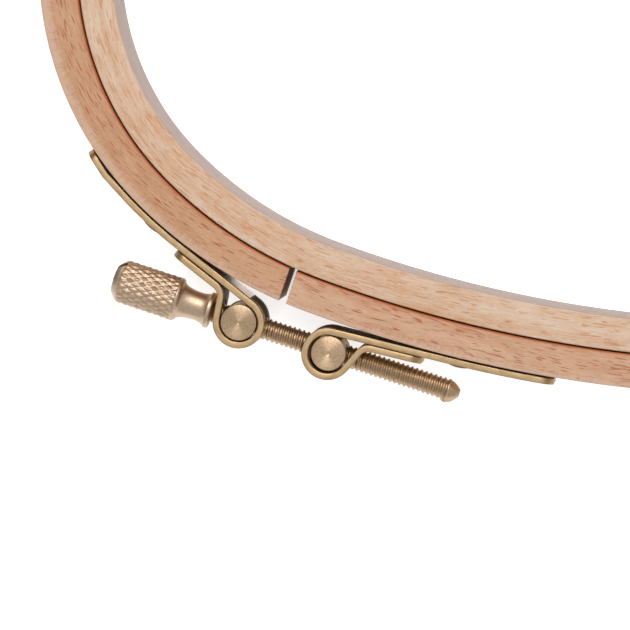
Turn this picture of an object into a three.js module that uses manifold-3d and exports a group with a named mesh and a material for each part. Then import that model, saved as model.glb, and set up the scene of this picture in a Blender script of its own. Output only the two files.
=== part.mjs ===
// An oval embroidery hoop of bent beech: a closed inner ring inside a split outer ring, with a brass
// clamp across the split. Each strap is folded round a barrel, and a slotted thumb screw runs through
// both barrels. Millimetres, +Z up. The hoop lies flat on z = 0, and the long axis of the oval is X.
// A direction on the oval is named by its normal, in degrees from +X towards +Y.
import * as THREE from 'three';
import { mergeVertices } from 'three/addons/utils/BufferGeometryUtils.js';
import Module from 'manifold-3d';

const wasm = await Module();
wasm.setup();

// The seam between the two rings: an oval of three arcs to each quarter
const SEAM_END_RADIUS = 64.1;
const SEAM_SHOULDER_RADIUS = 88.6;
const SEAM_SIDE_RADIUS = 279.9;
const END_ARC_DEG = 44.7;
const SHOULDER_ARC_DEG = 25.4;

// The wooden rings. The outer one is thickest round the oval's two ends, and thinnest along its sides.
const RING_HEIGHT = 16;
const INNER_RING_WALL = 7.2;
const OUTER_RING_SIDE_WALL = 7.1;
const OUTER_RING_END_WALL = 8.1;
const RING_CLEARANCE = 0.4;
const RING_EDGE_CHAMFER = 0.4;
const RING_STEP_DEG = 3;

// The split under the clamp, and the place across from it where the outer ring is taken to flex open
const SPLIT_DIRECTION_DEG = 246.5;
const SPLIT_GAP = 1.6;
const SPLIT_SLANT_DEG = 4.9;
const FLEX_DIRECTION_DEG = 80;
const FLEX_GAP = 0.3;

// The clamp's line runs through both barrels. The screw runs through the first barrel's centre, a little
// skew to that line.
const CLAMP_DIRECTION_DEG = 248.4;
const CLAMP_TILT_DEG = 2.5;
const SCREW_SKEW_DEG = 1.1;
const CLAMP_RISE = 1.3;
const LOOP_TO_RING_GAP = 1.7;
const BARREL_SPACING = 20;

// The barrels and the thumb screw through them
const BARREL_DIAMETER = 7.7;
const BARREL_RECESS = 0.9;
const BARREL_CHAMFER = 0.25;
const THREAD_DIAMETER = 4.76;
const THREAD_CLEARANCE = 0.4;
const THREAD_REACH = 29;
const TIP_LENGTH = 1.9;
const TIP_DIAMETER = 1.2;
const COLLAR_DIAMETER = 7.8;
const COLLAR_LENGTH = 1;
const COLLAR_GAP = 0.95;
const COLLAR_CHAMFER = 0.6;
const NECK_DIAMETER = 6.1;
const NECK_LENGTH = 6.3;
const WAIST_SHARE = 0.62;
const HEAD_DIAMETER = 9.5;
const HEAD_LENGTH = 15;
const HEAD_CROWN = 2.2;
const HEAD_FACE_DIAMETER = 5.4;
const HEAD_CHAMFER = 0.5;
const DRIVER_SLOT_WIDTH = 1.3;
const DRIVER_SLOT_DEPTH = 2.2;
const DRIVER_SLOT_TURN_DEG = 28;

// The straps
const STRAP_THICKNESS = 1.4;
const STRAP_WIDTH = 11;
const LOOP_CLEARANCE = 0.28;
const LOOP_WRAP_DEG = 243;
const NECK_BEND_RADIUS = 2.8;
const SCREW_SIDE_FOLD_GAP = 0.9;
const NUT_SIDE_FOLD_GAP = 0.7;
const SHORT_LEG_LENGTH = 19.8;
const LONG_LEG_LENGTH = 47.8;
const LEG_CORNER_CLIP = 1.8;
const STRAP_TO_RING_GAP = 0.3;
const SLOT_SIDE_CLEARANCE = 0.9;
const SLOT_HEIGHT_CLEARANCE = 0.4;
const SLOT_SWING_DEG = 4;
const STRAP_LIFT_FREE = 7;
const STRAP_LIFT_TIP = 6;
const STRAP_LIFT_BEND_DEG = 10;

// The nails that hold the straps
const NAIL_FROM_LOOP = 27.4;
const NAIL_PITCH = 5.6;
const NAIL_SHANK_DIAMETER = 1.6;
const NAIL_HOLE_CLEARANCE = 0.3;
const NAIL_GRIP = 5;
const NAIL_HEAD_DIAMETER = 4.2;
const NAIL_HEAD_HEIGHT = 0.5;
const NAIL_SEAT_GAP = 0.15;

const CUT_MARGIN = 1;
const ROUND_SEGMENTS = 32;
const BEND_STEP_DEG = 9;

const DEG = Math.PI / 180;

function direction(degrees) {
  return new THREE.Vector2(Math.cos(degrees * DEG), Math.sin(degrees * DEG));
}

function finish(colour, roughness, metalness) {
  return new THREE.MeshStandardMaterial({ color: colour, roughness, metalness });
}

const FINISHES = {
  paleBeech: finish(0xd9c1a9, 0.6, 0),
  pinkBeech: finish(0xcda07d, 0.6, 0),
  sheetBrass: finish(0xb9965c, 0.35, 1),
  turnedBrass: finish(0xc9ac84, 0.32, 1),
  screwBrass: finish(0xb8946b, 0.4, 1),
};

// The seam's outline. Each arc has its radius, its centre and the normal at which it ends.
function firstQuarterArcs() {
  const endJoin = direction(END_ARC_DEG);
  const sideJoin = direction(END_ARC_DEG + SHOULDER_ARC_DEG);
  const shoulderGrowth = SEAM_SHOULDER_RADIUS - SEAM_END_RADIUS;
  const sideGrowth = SEAM_SIDE_RADIUS - SEAM_SHOULDER_RADIUS;
  const end = {
    radius: SEAM_END_RADIUS,
    centre: new THREE.Vector2(shoulderGrowth * endJoin.x + sideGrowth * sideJoin.x, 0),
    until: END_ARC_DEG,
  };
  const shoulder = {
    radius: SEAM_SHOULDER_RADIUS,
    centre: end.centre.clone().addScaledVector(endJoin, -shoulderGrowth),
    until: END_ARC_DEG + SHOULDER_ARC_DEG,
  };
  const side = {
    radius: SEAM_SIDE_RADIUS,
    centre: shoulder.centre.clone().addScaledVector(sideJoin, -sideGrowth),
    until: 90,
  };
  return [end, shoulder, side];
}

const QUARTER_ARCS = firstQuarterArcs();

// The point on the oval where its outward normal has this direction, moved out by an offset. The offset
// is a length, or a function that gives the length at a direction.
function ovalPoint(degrees, offset) {
  const normal = direction(degrees);
  const signX = Math.sign(normal.x) || 1;
  const signY = Math.sign(normal.y) || 1;
  const inQuarter = Math.atan2(Math.abs(normal.y), Math.abs(normal.x)) / DEG;
  const arc = QUARTER_ARCS.find((each) => inQuarter <= each.until) ?? QUARTER_ARCS[2];
  const radius = arc.radius + (typeof offset === 'function' ? offset(degrees) : offset);
  const centre = new THREE.Vector2(signX * arc.centre.x, signY * arc.centre.y);
  return centre.addScaledVector(normal, radius);
}

const INNER_RING_OUTSIDE = -RING_CLEARANCE / 2;
const OUTER_RING_INSIDE = RING_CLEARANCE / 2;

// How far the outer ring's outside lies from the seam, at a direction
function outerRingOutside(degrees) {
  const endShare = Math.cos(degrees * DEG) ** 2;
  return OUTER_RING_INSIDE + OUTER_RING_SIDE_WALL + (OUTER_RING_END_WALL - OUTER_RING_SIDE_WALL) * endShare;
}

function outerRingMiddle(degrees) {
  return (OUTER_RING_INSIDE + outerRingOutside(degrees)) / 2;
}

const LOOP_INNER_RADIUS = BARREL_DIAMETER / 2 + LOOP_CLEARANCE;
const LOOP_MEAN_RADIUS = LOOP_INNER_RADIUS + STRAP_THICKNESS / 2;
const LOOP_OUTER_RADIUS = LOOP_INNER_RADIUS + STRAP_THICKNESS;

const CLAMP_HEIGHT = RING_HEIGHT / 2 + CLAMP_RISE;
const CLAMP_OFFSET = outerRingOutside(CLAMP_DIRECTION_DEG) + LOOP_TO_RING_GAP + LOOP_OUTER_RADIUS;
const CLAMP_MIDDLE = ovalPoint(CLAMP_DIRECTION_DEG, CLAMP_OFFSET);
const CLAMP_LINE_DEG = CLAMP_DIRECTION_DEG + 90 + CLAMP_TILT_DEG;
const CLAMP_LINE = direction(CLAMP_LINE_DEG);
const SCREW_DIRECTION_DEG = CLAMP_LINE_DEG + SCREW_SKEW_DEG;
const SCREW_BARREL_CENTRE = CLAMP_MIDDLE.clone().addScaledVector(CLAMP_LINE, -BARREL_SPACING / 2);
const NUT_BARREL_CENTRE = CLAMP_MIDDLE.clone().addScaledVector(CLAMP_LINE, BARREL_SPACING / 2);
const NUT_BORE_MIDDLE = direction(SCREW_DIRECTION_DEG)
  .multiplyScalar(BARREL_SPACING)
  .add(SCREW_BARREL_CENTRE);
const BORE_DIAMETER = THREAD_DIAMETER + 2 * THREAD_CLEARANCE;

// The two straps. The turn is +1 for a strap whose legs run towards rising directions.
const SCREW_SIDE = {
  turn: -1,
  barrelCentre: SCREW_BARREL_CENTRE,
  boreMiddle: SCREW_BARREL_CENTRE,
  foldGap: SCREW_SIDE_FOLD_GAP,
  lifted: true,
};
const NUT_SIDE = {
  turn: 1,
  barrelCentre: NUT_BARREL_CENTRE,
  boreMiddle: NUT_BORE_MIDDLE,
  foldGap: NUT_SIDE_FOLD_GAP,
  lifted: false,
};

// Solids and meshes
function solidFrom(geometry, placement) {
  const shape = geometry.clone();
  shape.deleteAttribute('normal');
  shape.deleteAttribute('uv');
  if (placement) {
    shape.applyMatrix4(placement);
  }
  const merged = mergeVertices(shape, 1e-5);
  const vertProperties = new Float32Array(merged.attributes.position.array);
  const triVerts = new Uint32Array(merged.index.array);
  return new wasm.Manifold(new wasm.Mesh({ numProp: 3, vertProperties, triVerts }));
}

function geometryFrom(solid) {
  const mesh = solid.getMesh();
  const geometry = new THREE.BufferGeometry();
  geometry.setAttribute('position', new THREE.BufferAttribute(new Float32Array(mesh.vertProperties), 3));
  geometry.setIndex(new THREE.BufferAttribute(new Uint32Array(mesh.triVerts), 1));
  geometry.computeVertexNormals();
  return geometry;
}

function namedMesh(name, solid, material) {
  const mesh = new THREE.Mesh(geometryFrom(solid), material);
  mesh.name = name;
  return mesh;
}

// Placements: a box or a turned shape whose own X, Y or Z axis is laid along a direction in the plan
function placeAt(plan, height, turnDegrees) {
  return new THREE.Matrix4()
    .makeTranslation(plan.x, plan.y, height)
    .multiply(new THREE.Matrix4().makeRotationZ(turnDegrees * DEG));
}

// Lays a lathe's own +Y axis along the plan direction given, at a height
function layAlong(plan, height, degrees) {
  return placeAt(plan, height, degrees).multiply(new THREE.Matrix4().makeRotationZ(-Math.PI / 2));
}

// Stands a lathe's own +Y axis upright
function standAt(plan, height) {
  return new THREE.Matrix4()
    .makeTranslation(plan.x, plan.y, height)
    .multiply(new THREE.Matrix4().makeRotationX(Math.PI / 2));
}

function turnedSolid(profile, placement) {
  const points = profile.map(([radius, along]) => new THREE.Vector2(radius, along));
  return solidFrom(new THREE.LatheGeometry(points, ROUND_SEGMENTS), placement);
}

// A wooden ring's section between two offsets
function ringSection(inside, outside) {
  const chamfer = RING_EDGE_CHAMFER;
  return [
    [inside + chamfer, 0],
    [outside - chamfer, 0],
    [outside, chamfer],
    [outside, RING_HEIGHT - chamfer],
    [outside - chamfer, RING_HEIGHT],
    [inside + chamfer, RING_HEIGHT],
    [inside, RING_HEIGHT - chamfer],
    [inside, chamfer],
  ];
}

// A wooden ring: its section, given for each direction, swept along the oval, closed or not
function sweptRing(sectionAt, fromDegrees, toDegrees) {
  const closed = toDegrees - fromDegrees >= 360;
  const steps = Math.ceil((toDegrees - fromDegrees) / RING_STEP_DEG);
  const rows = closed ? steps : steps + 1;
  const positions = [];
  for (let row = 0; row < rows; row += 1) {
    const degrees = fromDegrees + ((toDegrees - fromDegrees) * row) / steps;
    for (const [offset, height] of sectionAt(degrees)) {
      const point = ovalPoint(degrees, offset);
      positions.push(point.x, point.y, height);
    }
  }
  const indices = [];
  const count = sectionAt(fromDegrees).length;
  for (let row = 0; row < steps; row += 1) {
    const next = (row + 1) % rows;
    for (let corner = 0; corner < count; corner += 1) {
      const after = (corner + 1) % count;
      indices.push(row * count + corner, next * count + corner, next * count + after);
      indices.push(row * count + corner, next * count + after, row * count + after);
    }
  }
  if (!closed) {
    for (let corner = 1; corner < count - 1; corner += 1) {
      indices.push(0, corner, corner + 1);
      indices.push(steps * count, steps * count + corner + 1, steps * count + corner);
    }
  }
  const geometry = new THREE.BufferGeometry();
  geometry.setAttribute('position', new THREE.Float32BufferAttribute(positions, 3));
  geometry.setIndex(indices);
  return solidFrom(geometry);
}

// The narrow gap across the outer ring where it is taken to flex
function flexGapCutter() {
  const middle = ovalPoint(FLEX_DIRECTION_DEG, outerRingMiddle);
  const box = new THREE.BoxGeometry(2 * OUTER_RING_END_WALL, FLEX_GAP, RING_HEIGHT + 2 * CUT_MARGIN);
  return solidFrom(box, placeAt(middle, RING_HEIGHT / 2, FLEX_DIRECTION_DEG));
}

// How far a strap's centre line lies from the seam where its leg follows the ring
function legOffset(degrees) {
  return outerRingOutside(degrees) + STRAP_TO_RING_GAP + STRAP_THICKNESS / 2;
}

// The strap's leg lies along the ring, and leaves it on the tangent that passes the barrel's centre at the
// loop's mean radius. The direction where it does is found by halving.
function legLeavesRingAt({ barrelCentre, turn }) {
  const searchDegrees = 40;
  const halvings = 40;
  let near = CLAMP_DIRECTION_DEG;
  let far = CLAMP_DIRECTION_DEG + turn * searchDegrees;
  for (let step = 0; step < halvings; step += 1) {
    const middle = (near + far) / 2;
    const reach = barrelCentre.clone().sub(ovalPoint(middle, legOffset)).dot(direction(middle));
    if (reach > LOOP_MEAN_RADIUS) {
      near = middle;
    } else {
      far = middle;
    }
  }
  return (near + far) / 2;
}

// The direction that lies a distance further along the leg's line on the ring
function alongRing(startDegrees, turn, distance) {
  const step = 0.1;
  let degrees = startDegrees;
  let left = distance;
  let here = ovalPoint(degrees, legOffset);
  while (left > 0) {
    const next = ovalPoint(degrees + turn * step, legOffset);
    const length = next.distanceTo(here);
    if (length >= left) {
      degrees += (turn * step * left) / length;
      break;
    }
    left -= length;
    degrees += turn * step;
    here = next;
  }
  return degrees;
}

// The strap's centre line in plan, from the end of the long leg, round the loop, to the short leg's end
function strapLine(side) {
  const { barrelCentre, turn, foldGap, lifted } = side;
  const leaves = legLeavesRingAt(side);
  const outward = direction(leaves);
  const away = direction(leaves + turn * 90);
  const loopStart = barrelCentre.clone().addScaledVector(outward, -LOOP_MEAN_RADIUS);
  const straight = loopStart.distanceTo(ovalPoint(leaves, legOffset));
  const points = [];

  // The long leg, from its end
  const liftLength = lifted ? STRAP_LIFT_FREE + STRAP_LIFT_TIP : 0;
  const follows = LONG_LEG_LENGTH - straight - liftLength;
  const last = alongRing(leaves, turn, follows);
  if (lifted) {
    const corner = ovalPoint(last, legOffset).addScaledVector(direction(last + turn * 90), STRAP_LIFT_FREE);
    const tipDirection = direction(last + turn * (90 + STRAP_LIFT_BEND_DEG));
    const tip = corner.clone().addScaledVector(tipDirection, STRAP_LIFT_TIP);
    points.push(tip, corner);
  }
  const ringSteps = Math.ceil(Math.abs(last - leaves) / RING_STEP_DEG) * 2;
  for (let step = 0; step <= ringSteps; step += 1) {
    points.push(ovalPoint(last + ((leaves - last) * step) / ringSteps, legOffset));
  }

  // The loop, drawn in the leg's own axes: away from the clamp, and out from the ring
  const place = (x, y) => loopStart.clone().addScaledVector(away, x).addScaledVector(outward, y);
  const loopSteps = Math.ceil(LOOP_WRAP_DEG / BEND_STEP_DEG);
  for (let step = 0; step <= loopSteps; step += 1) {
    const wrap = (LOOP_WRAP_DEG * DEG * step) / loopSteps;
    points.push(place(-LOOP_MEAN_RADIUS * Math.sin(wrap), LOOP_MEAN_RADIUS * (1 - Math.cos(wrap))));
  }

  // The short leg: a straight run back to the long leg, a bend, and a run beside it
  const rise = (LOOP_WRAP_DEG - 180) * DEG;
  const runHeight = STRAP_THICKNESS + foldGap;
  const loopEndX = LOOP_MEAN_RADIUS * Math.sin(rise);
  const loopEndY = LOOP_MEAN_RADIUS * (1 + Math.cos(rise));
  const bendTop = runHeight + NECK_BEND_RADIUS * (1 - Math.cos(rise));
  const neckRun = (loopEndY - bendTop) / Math.sin(rise);
  const bendStartX = loopEndX + neckRun * Math.cos(rise);
  const bendCentreX = bendStartX + NECK_BEND_RADIUS * Math.sin(rise);
  const bendSteps = Math.ceil(rise / DEG / BEND_STEP_DEG);
  for (let step = 0; step <= bendSteps; step += 1) {
    const turnLeft = rise * (1 - step / bendSteps);
    const bendX = bendCentreX - NECK_BEND_RADIUS * Math.sin(turnLeft);
    points.push(place(bendX, runHeight + NECK_BEND_RADIUS * (1 - Math.cos(turnLeft))));
  }
  points.push(place(SHORT_LEG_LENGTH, runHeight));
  return { points, leaves, straight };
}

// A sheet strip of the strap's thickness along a centre line, standing on its edge
function stripSolid(points) {
  const left = [];
  const right = [];
  points.forEach((point, index) => {
    const before = points[Math.max(index - 1, 0)];
    const after = points[Math.min(index + 1, points.length - 1)];
    const into = point.clone().sub(before).normalize();
    const out = after.clone().sub(point).normalize();
    const along = into.add(out).normalize();
    const normal = new THREE.Vector2(-along.y, along.x);
    left.push(point.clone().addScaledVector(normal, STRAP_THICKNESS / 2));
    right.push(point.clone().addScaledVector(normal, -STRAP_THICKNESS / 2));
  });
  const outline = new THREE.Shape([...left, ...right.reverse()]);
  const strip = new THREE.ExtrudeGeometry(outline, { depth: STRAP_WIDTH, bevelEnabled: false });
  const bottom = CLAMP_HEIGHT - STRAP_WIDTH / 2;
  return solidFrom(strip, new THREE.Matrix4().makeTranslation(0, 0, bottom));
}

// A strip with the corners of one leg's end clipped off. The leg comes from the point before its end.
function clippedCorners(strip, end, before) {
  const along = end.clone().sub(before).angle() / DEG;
  const reach = 2 * LEG_CORNER_CLIP;
  let clipped = strip;
  for (const up of [1, -1]) {
    const corner = new THREE.BoxGeometry(reach, 1.5 * STRAP_THICKNESS, 2 * reach);
    const place = placeAt(end, CLAMP_HEIGHT + (up * STRAP_WIDTH) / 2, along)
      .multiply(new THREE.Matrix4().makeRotationY((-up * Math.PI) / 4))
      .multiply(new THREE.Matrix4().makeTranslation(reach / 2 - LEG_CORNER_CLIP / Math.SQRT2, 0, 0));
    clipped = clipped.subtract(solidFrom(corner, place));
  }
  return clipped;
}

// The window that lets the screw through the loop and swing in it as the clamp opens. It is cut around
// the middle of one bore, turned to the middle of the swing.
function screwWindow(boreMiddle, before, after) {
  const width = THREAD_DIAMETER + 2 * SLOT_SIDE_CLEARANCE;
  const height = THREAD_DIAMETER + 2 * SLOT_HEIGHT_CLEARANCE;
  const box = new THREE.BoxGeometry(before + after, width, height);
  const place = placeAt(boreMiddle, CLAMP_HEIGHT, SCREW_DIRECTION_DEG - SLOT_SWING_DEG / 2)
    .multiply(new THREE.Matrix4().makeTranslation((after - before) / 2, 0, 0));
  return solidFrom(box, place);
}

// Where a strap's nails stand: on the ring, at a distance along the leg from the loop
function nailDirection(side) {
  const { leaves, straight } = strapLine(side);
  return alongRing(leaves, side.turn, NAIL_FROM_LOOP - straight);
}

const NAIL_LENGTH = STRAP_TO_RING_GAP + STRAP_THICKNESS + NAIL_SEAT_GAP + NAIL_GRIP;

// How far a nail head's underside lies from the seam
function nailHeadSeat(degrees) {
  return legOffset(degrees) + STRAP_THICKNESS / 2 + NAIL_SEAT_GAP;
}

function nailHeights() {
  return [CLAMP_HEIGHT + NAIL_PITCH / 2, CLAMP_HEIGHT - NAIL_PITCH / 2];
}

// A domed nail driven in towards the ring's centre
function nailSolid(degrees, height) {
  const headRadius = NAIL_HEAD_DIAMETER / 2;
  const shankRadius = NAIL_SHANK_DIAMETER / 2;
  const domeRadius = (headRadius ** 2 + NAIL_HEAD_HEIGHT ** 2) / (2 * NAIL_HEAD_HEIGHT);
  const profile = [
    [0, -NAIL_LENGTH],
    [shankRadius, -NAIL_LENGTH + NAIL_SHANK_DIAMETER],
    [shankRadius, 0],
  ];
  const domeSteps = 4;
  const domeAngle = Math.asin(Math.min(1, headRadius / domeRadius));
  for (let step = 0; step <= domeSteps; step += 1) {
    const angle = domeAngle * (1 - step / domeSteps);
    profile.push([domeRadius * Math.sin(angle), NAIL_HEAD_HEIGHT - domeRadius * (1 - Math.cos(angle))]);
  }
  const points = profile.map(([radius, along]) => new THREE.Vector2(radius, along));
  const geometry = new THREE.LatheGeometry(points, ROUND_SEGMENTS / 2);
  return solidFrom(geometry, layAlong(ovalPoint(degrees, nailHeadSeat), height, degrees));
}

function nailHole(degrees, height) {
  const holeRadius = NAIL_SHANK_DIAMETER / 2 + NAIL_HOLE_CLEARANCE;
  const depth = NAIL_LENGTH + NAIL_HOLE_CLEARANCE;
  const hole = new THREE.CylinderGeometry(holeRadius, holeRadius, depth + CUT_MARGIN, ROUND_SEGMENTS / 2);
  const middle = ovalPoint(degrees, nailHeadSeat(degrees) + (CUT_MARGIN - depth) / 2);
  return solidFrom(hole, layAlong(middle, height, degrees));
}

// A strap of the clamp, with its window for the screw and its nail holes
function strapSolid(side) {
  const { points } = strapLine(side);
  const pastLoop = LOOP_OUTER_RADIUS + CUT_MARGIN;
  const pastNeck = LOOP_OUTER_RADIUS + 2 * NECK_BEND_RADIUS;
  const [before, after] = side.turn > 0 ? [pastLoop, pastNeck] : [pastNeck, pastLoop];
  let strap = stripSolid(points).subtract(screwWindow(side.boreMiddle, before, after));
  strap = clippedCorners(strap, points[0], points[1]);
  strap = clippedCorners(strap, points[points.length - 1], points[points.length - 2]);
  const nailsAt = nailDirection(side);
  for (const height of nailHeights()) {
    strap = strap.subtract(nailHole(nailsAt, height));
  }
  return strap;
}

// A barrel with its cross bore for the screw
function barrelSolid({ barrelCentre, boreMiddle }, length) {
  const radius = BARREL_DIAMETER / 2;
  const half = length / 2;
  const profile = [
    [0, -half],
    [radius - BARREL_CHAMFER, -half],
    [radius, -half + BARREL_CHAMFER],
    [radius, half - BARREL_CHAMFER],
    [radius - BARREL_CHAMFER, half],
    [0, half],
  ];
  const body = turnedSolid(profile, standAt(barrelCentre, CLAMP_HEIGHT));
  const boreLength = BARREL_DIAMETER + 2 * CUT_MARGIN;
  const bore = new THREE.CylinderGeometry(BORE_DIAMETER / 2, BORE_DIAMETER / 2, boreLength, ROUND_SEGMENTS);
  return body.subtract(solidFrom(bore, layAlong(boreMiddle, CLAMP_HEIGHT, SCREW_DIRECTION_DEG)));
}

// The thumb screw, turned about its axis from the crown of the head to the tip. Distances run along the
// axis from the screw-side barrel's centre.
const COLLAR_FACE = -(LOOP_OUTER_RADIUS + COLLAR_GAP);
const NECK_END = COLLAR_FACE - COLLAR_LENGTH;
const HEAD_END = NECK_END - NECK_LENGTH;
const CROWN_TOP = HEAD_END - HEAD_LENGTH;
const TIP_END = BARREL_SPACING + THREAD_REACH;

function thumbScrewSolid() {
  const headRadius = HEAD_DIAMETER / 2;
  const neckRadius = NECK_DIAMETER / 2;
  const collarRadius = COLLAR_DIAMETER / 2;
  const threadRadius = THREAD_DIAMETER / 2;
  const profile = [
    [0, CROWN_TOP],
    [HEAD_FACE_DIAMETER / 2, CROWN_TOP],
  ];
  const crownSteps = 4;
  for (let step = 1; step <= crownSteps; step += 1) {
    const angle = (Math.PI / 2) * (step / crownSteps);
    const out = (headRadius - HEAD_FACE_DIAMETER / 2) * Math.sin(angle);
    profile.push([HEAD_FACE_DIAMETER / 2 + out, CROWN_TOP + HEAD_CROWN * (1 - Math.cos(angle))]);
  }
  profile.push([headRadius, HEAD_END - HEAD_CHAMFER]);
  profile.push([headRadius - HEAD_CHAMFER, HEAD_END]);

  // The waist: a quarter of an ellipse down from the head, and another up to the collar
  const waist = HEAD_END + NECK_LENGTH * WAIST_SHARE;
  const waistSteps = 5;
  for (let step = 1; step <= waistSteps; step += 1) {
    const angle = (Math.PI / 2) * (step / waistSteps);
    const radius = neckRadius + (headRadius - HEAD_CHAMFER - neckRadius) * (1 - Math.sin(angle));
    profile.push([radius, HEAD_END + (waist - HEAD_END) * (1 - Math.cos(angle))]);
  }
  for (let step = 1; step <= waistSteps; step += 1) {
    const angle = (Math.PI / 2) * (step / waistSteps);
    const radius = neckRadius + (collarRadius - neckRadius) * (1 - Math.cos(angle));
    profile.push([radius, waist + (NECK_END - waist) * Math.sin(angle)]);
  }
  profile.push([collarRadius, COLLAR_FACE - COLLAR_CHAMFER]);
  profile.push([collarRadius - COLLAR_CHAMFER, COLLAR_FACE]);
  profile.push([threadRadius, COLLAR_FACE]);
  profile.push([threadRadius, TIP_END - TIP_LENGTH]);
  profile.push([TIP_DIAMETER / 2, TIP_END]);
  profile.push([0, TIP_END]);
  const body = turnedSolid(profile, layAlong(SCREW_BARREL_CENTRE, CLAMP_HEIGHT, SCREW_DIRECTION_DEG));

  const slotLength = HEAD_DIAMETER + 2 * CUT_MARGIN;
  const slot = new THREE.BoxGeometry(DRIVER_SLOT_DEPTH + CUT_MARGIN, slotLength, DRIVER_SLOT_WIDTH);
  const slotMiddle = CROWN_TOP + (DRIVER_SLOT_DEPTH - CUT_MARGIN) / 2;
  const slotPlace = placeAt(SCREW_BARREL_CENTRE, CLAMP_HEIGHT, SCREW_DIRECTION_DEG)
    .multiply(new THREE.Matrix4().makeTranslation(slotMiddle, 0, 0))
    .multiply(new THREE.Matrix4().makeRotationX(DRIVER_SLOT_TURN_DEG * DEG));
  return body.subtract(solidFrom(slot, slotPlace));
}

// One part of the outer ring, between the split and the place where the ring flexes. The turn is +1 for
// the part that runs from the split towards rising directions.
function outerRingPart(turn, nailsAt) {
  const flexAt = turn > 0 ? FLEX_DIRECTION_DEG + 360 : FLEX_DIRECTION_DEG;
  const overlap = SPLIT_DIRECTION_DEG - turn * RING_STEP_DEG;
  const [from, to] = turn > 0 ? [overlap, flexAt] : [flexAt, overlap];
  let part = sweptRing((degrees) => ringSection(OUTER_RING_INSIDE, outerRingOutside(degrees)), from, to);
  part = part.subtract(flexGapCutter());

  // What runs past the split's edge is cut away
  const reach = 4 * OUTER_RING_END_WALL;
  const past = new THREE.BoxGeometry(reach, reach, RING_HEIGHT + 2 * CUT_MARGIN);
  const middle = ovalPoint(SPLIT_DIRECTION_DEG, outerRingMiddle);
  const place = placeAt(middle, RING_HEIGHT / 2, SPLIT_DIRECTION_DEG + SPLIT_SLANT_DEG)
    .multiply(new THREE.Matrix4().makeTranslation(0, (turn * (SPLIT_GAP - reach)) / 2, 0));
  part = part.subtract(solidFrom(past, place));
  for (const height of nailHeights()) {
    part = part.subtract(nailHole(nailsAt, height));
  }
  return part;
}

function buildHoop() {
  const hoop = new THREE.Group();
  const add = (name, solid, material) => hoop.add(namedMesh(name, solid, material));
  const screwNailsAt = nailDirection(SCREW_SIDE);
  const nutNailsAt = nailDirection(NUT_SIDE);
  const innerRingSection = ringSection(INNER_RING_OUTSIDE - INNER_RING_WALL, INNER_RING_OUTSIDE);

  add('inner_ring', sweptRing(() => innerRingSection, 0, 360), FINISHES.paleBeech);
  add('outer_ring_screw_side', outerRingPart(-1, screwNailsAt), FINISHES.pinkBeech);
  add('outer_ring_nut_side', outerRingPart(1, nutNailsAt), FINISHES.pinkBeech);
  add('screw_side_strap', strapSolid(SCREW_SIDE), FINISHES.sheetBrass);
  add('nut_side_strap', strapSolid(NUT_SIDE), FINISHES.sheetBrass);
  add('screw_barrel', barrelSolid(SCREW_SIDE, STRAP_WIDTH), FINISHES.turnedBrass);
  add('nut_barrel', barrelSolid(NUT_SIDE, STRAP_WIDTH - 2 * BARREL_RECESS), FINISHES.turnedBrass);
  add('thumb_screw', thumbScrewSolid(), FINISHES.screwBrass);
  nailHeights().forEach((height, index) => {
    const place = index === 0 ? 'upper' : 'lower';
    add(`screw_side_${place}_nail`, nailSolid(screwNailsAt, height), FINISHES.sheetBrass);
    add(`nut_side_${place}_nail`, nailSolid(nutNailsAt, height), FINISHES.sheetBrass);
  });
  return hoop;
}

const hoop = buildHoop();

export default hoop;
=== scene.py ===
"""Looks of an oval embroidery hoop: two rings of bent beech and a brass clamp with a thumb screw.

Lengths are in metres, in the hoop's own frame: it lies flat on z = 0 with the oval's long axis on X.
A direction on the oval is named by its normal, in degrees from +X towards +Y.
"""

import math
from functools import partial

import bmesh
import bpy
import numpy as np
from mathutils import Matrix, Vector


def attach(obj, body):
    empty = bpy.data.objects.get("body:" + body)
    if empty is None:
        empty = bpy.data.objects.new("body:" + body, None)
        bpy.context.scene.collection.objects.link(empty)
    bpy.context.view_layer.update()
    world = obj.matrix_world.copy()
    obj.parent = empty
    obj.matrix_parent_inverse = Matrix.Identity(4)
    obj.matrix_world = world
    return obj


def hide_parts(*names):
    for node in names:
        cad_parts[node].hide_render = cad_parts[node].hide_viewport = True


bl_info = {
    "name": "Embroidery hoop",
    "version": (1, 0, 0),
    "blender": (4, 5, 0),
    "location": "View3D > Sidebar > Hoop",
    "description": "Builds the rings, the clamp and the stage of an oval embroidery hoop",
    "category": "Object",
}

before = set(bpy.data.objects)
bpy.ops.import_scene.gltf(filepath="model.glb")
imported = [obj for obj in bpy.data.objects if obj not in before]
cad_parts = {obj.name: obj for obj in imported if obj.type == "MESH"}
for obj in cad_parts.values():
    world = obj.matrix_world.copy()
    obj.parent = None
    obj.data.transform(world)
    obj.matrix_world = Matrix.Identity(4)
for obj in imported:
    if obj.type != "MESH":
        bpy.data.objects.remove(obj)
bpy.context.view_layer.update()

DEG = math.pi / 180
UP = Vector((0, 0, 1))

# How finely the rings, the straps' lines and their strips are divided
RING_STEP = 0.6 * DEG
LINE_STEP = 0.0002
STRIP_STEP = 0.0004
CLOSEST_COLUMNS = 0.00004

# The straps' windows: the room beside and above the screw, and how far from a bore they are looked for
WINDOW_BESIDE = 0.0009
WINDOW_ABOVE = 0.0004
WINDOW_REACH = 0.010

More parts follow.
